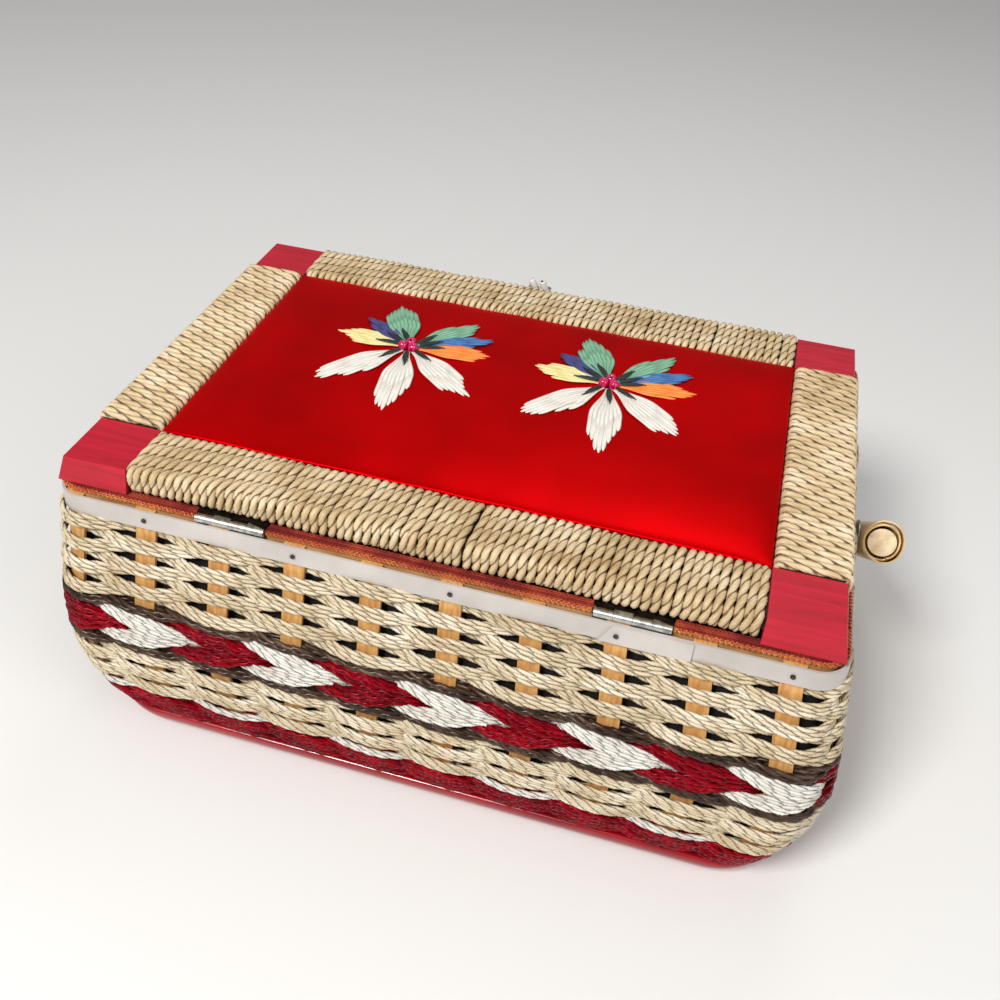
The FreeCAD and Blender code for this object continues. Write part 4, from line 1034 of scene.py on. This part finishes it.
def liningCard(name, node, body, corner, downward):
    # A flat card with rounded corners, crowned on the side that shows
    low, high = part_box(node)
    half = (high - low) / 2
    middle = (high + low) / 2
    u, v = np.meshgrid(edgeSpaced(card["columns"]), edgeSpaced(card["rows"]), indexing="ij")
    puff = panelPuff(u, v)
    bent = card["rippleX"] * u + card["bend"] * np.sin(card["bendY"] * v)
    uneven = np.sin(bent) * np.sin(card["rippleY"] * v)
    x, y = roundCorners(u * half.x, v * half.y, half, corner)
    rise = (high.z - low.z) * (card["edge"] + card["crown"] * puff + card["ripple"] * uneven * puff)
    z = high.z - rise if downward else low.z + rise
    flat = high.z if downward else low.z
    front = np.stack([x + middle.x, y + middle.y, z], axis=-1)
    back = np.stack([x + middle.x, y + middle.y, np.full_like(z, flat)], axis=-1)
    piece = closedPanel(name, front, back, liningCloth, body, node)


def boxLining():
    first = (wall["halfLength"] - wall["rimCorner"] + rimQuarter / 2) / rimGirth
    liningWall("back", -first, first)
    liningWall("left", first, 0.5 - first)
    liningWall("front", 0.5 - first, 0.5 + first)
    liningWall("right", 0.5 + first, 1 - first)
    liningCard("lining_floor", "liner_floor", "basket", card["floorCorner"], False)
    liningCard("lining_lid", "lid_lining", "lid", card["lidCorner"], True)


boxLining()
print("lining: four walls, floor and lid")


# Latch loop of soft tube on the front rail, with its route in millimetres
loop = {
    "radius": 1.6 * mm, "lip": 0.25 * mm, "bore": 0.85 * mm, "boreDepth": 3.0 * mm, "boreSpare": 0.05 * mm,
    "route": ((5.4, -90.25, 136.7), (4.614, -90.25, 132.7), (1.7, -92.6, 128.9), (1.7, -93.8, 123.75),
              (7.3, -93.8, 123.75), (7.6, -92.6, 128.9), (8.414, -90.25, 132.7), (10.6, -90.25, 136.7)),
    "order": 3, "resolution": 16, "nearest": 0.001 * mm, "sides": 20,
}


def loopLine():
    curve = bpy.data.curves.new("latch_route", "CURVE")
    curve.dimensions = "3D"
    spline = curve.splines.new("NURBS")
    spline.points.add(len(loop["route"]) - 1)
    for point, place in zip(spline.points, loop["route"]):
        point.co = (place[0] * mm, place[1] * mm, place[2] * mm, 1.0)
    spline.order_u = loop["order"]
    spline.use_endpoint_u = True
    spline.resolution_u = loop["resolution"]
    route = bpy.data.objects.new("latch_route", curve)
    line = bpy.data.meshes.new_from_object(route)
    points = np.array([tuple(v.co) for v in line.vertices])
    bpy.data.objects.remove(route)
    apart = np.linalg.norm(np.diff(points, axis=0), axis=-1) > loop["nearest"]
    return points[np.concatenate([[True], apart])]


def latchLoop():
    # A hollow tube: its bore shows at both free ends
    points = loopLine()
    side, across = sweepFrames(points, np.array([0, 1.0, 0]), False)
    run = runAlong(points)
    inside = int(np.searchsorted(run, loop["boreDepth"]))
    last = len(points) - 1
    mouth = loop["radius"] - loop["lip"]
    rings = [(inside, loop["bore"]), (0, loop["bore"]), (0, mouth)]
    rings += [(index, loop["radius"]) for index in range(1, last)]
    rings += [(last, mouth), (last, loop["bore"]), (last - inside, loop["bore"])]
    angle = ringAngles(loop["sides"])
    grid = []
    for index, radius in rings:
        ring = np.outer(np.cos(angle), side[index]) + np.outer(np.sin(angle), across[index])
        grid.append(points[index] + radius * ring)
    surface = gridSurface(np.array(grid), False, True)
    piece = meshPiece("latch_tube", [surface], tubeVinyl, "lid", ["latch_loop"], fill=True)

    def inBore(face):
        # Painted shade: the faces near the tube's own line, inside the bore, are coloured black
        apart = np.linalg.norm(points - np.array(face.center), axis=-1)
        return apart.min() < loop["bore"] + loop["boreSpare"]

    paintFaces(piece.data, blackCardAndShade, inBore)


latchLoop()


# Pieces that show as they are
coats = {
    "base_board": crimsonLacquer, "rim_nails": nailSteel, "inner_rim_hoop": hoopWood, "rim_band": whiteVinyl,
    "lid_board": boardWood, "hinge_pins": hingeSteel, "handle_core": coreCane, "pivot_washers": hingeSteel,
    "latch_knob": stakeWood, "latch_staple": hingeSteel,
}
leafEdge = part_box("hinge_pins")[0].y - 0.9 * mm  # the knuckles end here and the flat of the leaf begins
windingSpare = 0.1 * mm


def darkenRail(side):
    # Painted shade: the bare rail under the winding, seen only between its turns, is coloured dark brown
    low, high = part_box(f"rail_winding_{side}")
    axis = 0 if side in longSides else 1
    start = low[axis] - windingSpare
    end = high[axis] + windingSpare
    rail = frame["nodes"][f"lid_rail_{side}"]
    paintFaces(rail.data, railShade, lambda face: start < face.center[axis] < end)


for side in longSides + shortSides:
    coats[f"wall_stakes_{side}"] = stakeWood
    coats[f"lid_rail_{side}"] = redPaint
for side in shortSides:
    coats[f"hinge_leaf_lid_{side}"] = hingeSteel
    coats[f"hinge_leaf_basket_{side}"] = hingeSteel
for node, material in coats.items():
    piece = frame["nodes"][node]
    piece.data.materials.clear()
    piece.data.materials.append(material)
for side in shortSides:
    # Painted shade: the flat of the lid's leaf, in shadow under the winding, is coloured dark; its knuckles
    # are bright
    leaf = frame["nodes"][f"hinge_leaf_lid_{side}"]
    paintFaces(leaf.data, leafShadeSteel, lambda face: face.center.y < leafEdge)
for side in longSides + shortSides:
    darkenRail(side)
print("plain pieces: woods, vinyl and steel")


# Stage, light and camera
studio = {"halfFloor": 6.0, "floor": (232, 230, 226), "sky": (245, 246, 250), "skyStrength": 0.32}
lamps = {
    "keyLamp": {"place": (0.35, 0.85, 1.15), "target": (0, 0, 0.08), "size": 0.4, "power": 17.0},
    "topLamp": {"place": (-0.1, -0.55, 1.1), "target": (0, 0, 0.1), "size": 0.5, "power": 1.4},
    "fillLamp": {"place": (-0.9, 0.5, 0.8), "target": (0, 0, 0.08), "size": 0.9, "power": 4.5},
}
view = {
    "place": (-77.7 * mm, 320.5 * mm, 361.1 * mm), "lens": 37.08, "sensor": 36, "nearest": 0.01,
    "turn": math.radians(193.134), "rise": math.radians(40.299), "roll": math.radians(3.918),
}


def studioFloor():
    mesh = bpy.data.meshes.new("studio_floor")
    half = studio["halfFloor"]
    corners = [(-half, -half, 0), (half, -half, 0), (half, half, 0), (-half, half, 0)]
    mesh.from_pydata(corners, [], [(0, 1, 2, 3)])
    material, shader = newMaterial("studioFloor", 0.9)
    shader.inputs["Base Color"].default_value = linear(*studio["floor"])
    mesh.materials.append(material)
    addObject("studio_floor", mesh)


def softLamp(name, setting):
    lamp = bpy.data.lights.new(name, "AREA")
    lamp.shape = "DISK"
    lamp.size = setting["size"]
    lamp.energy = setting["power"]
    piece = addObject(name, lamp)
    piece.location = setting["place"]
    way = Vector(setting["target"]) - Vector(setting["place"])
    piece.rotation_euler = way.to_track_quat("-Z", "Y").to_euler()


def studioSky():
    world = bpy.data.worlds.new("studioSky")
    world.use_nodes = True
    background = world.node_tree.nodes["Background"]
    background.inputs["Color"].default_value = linear(*studio["sky"])
    background.inputs["Strength"].default_value = studio["skyStrength"]
    bpy.context.scene.world = world


def photoCamera():
    level = math.cos(view["rise"])
    back = Vector((math.sin(view["turn"]) * level, -math.cos(view["turn"]) * level, math.sin(view["rise"])))
    right = Vector((math.cos(view["turn"]), math.sin(view["turn"]), 0))
    upward = back.cross(right)
    tiltedRight = right * math.cos(view["roll"]) + upward * math.sin(view["roll"])
    tiltedUp = upward * math.cos(view["roll"]) - right * math.sin(view["roll"])
    lens = bpy.data.cameras.new("photoCamera")
    lens.lens = view["lens"]
    lens.sensor_width = view["sensor"]
    lens.clip_start = view["nearest"]
    camera = addObject("photoCamera", lens)
    camera.matrix_world = Matrix((tiltedRight, tiltedUp, back)).transposed().to_4x4()
    camera.location = view["place"]
    bpy.context.scene.camera = camera


studioFloor()
studioSky()
for name, setting in lamps.items():
    softLamp(name, setting)
photoCamera()
bpy.context.scene.view_settings.view_transform = "Standard"
print("stage: floor, lamps and the photo's camera")
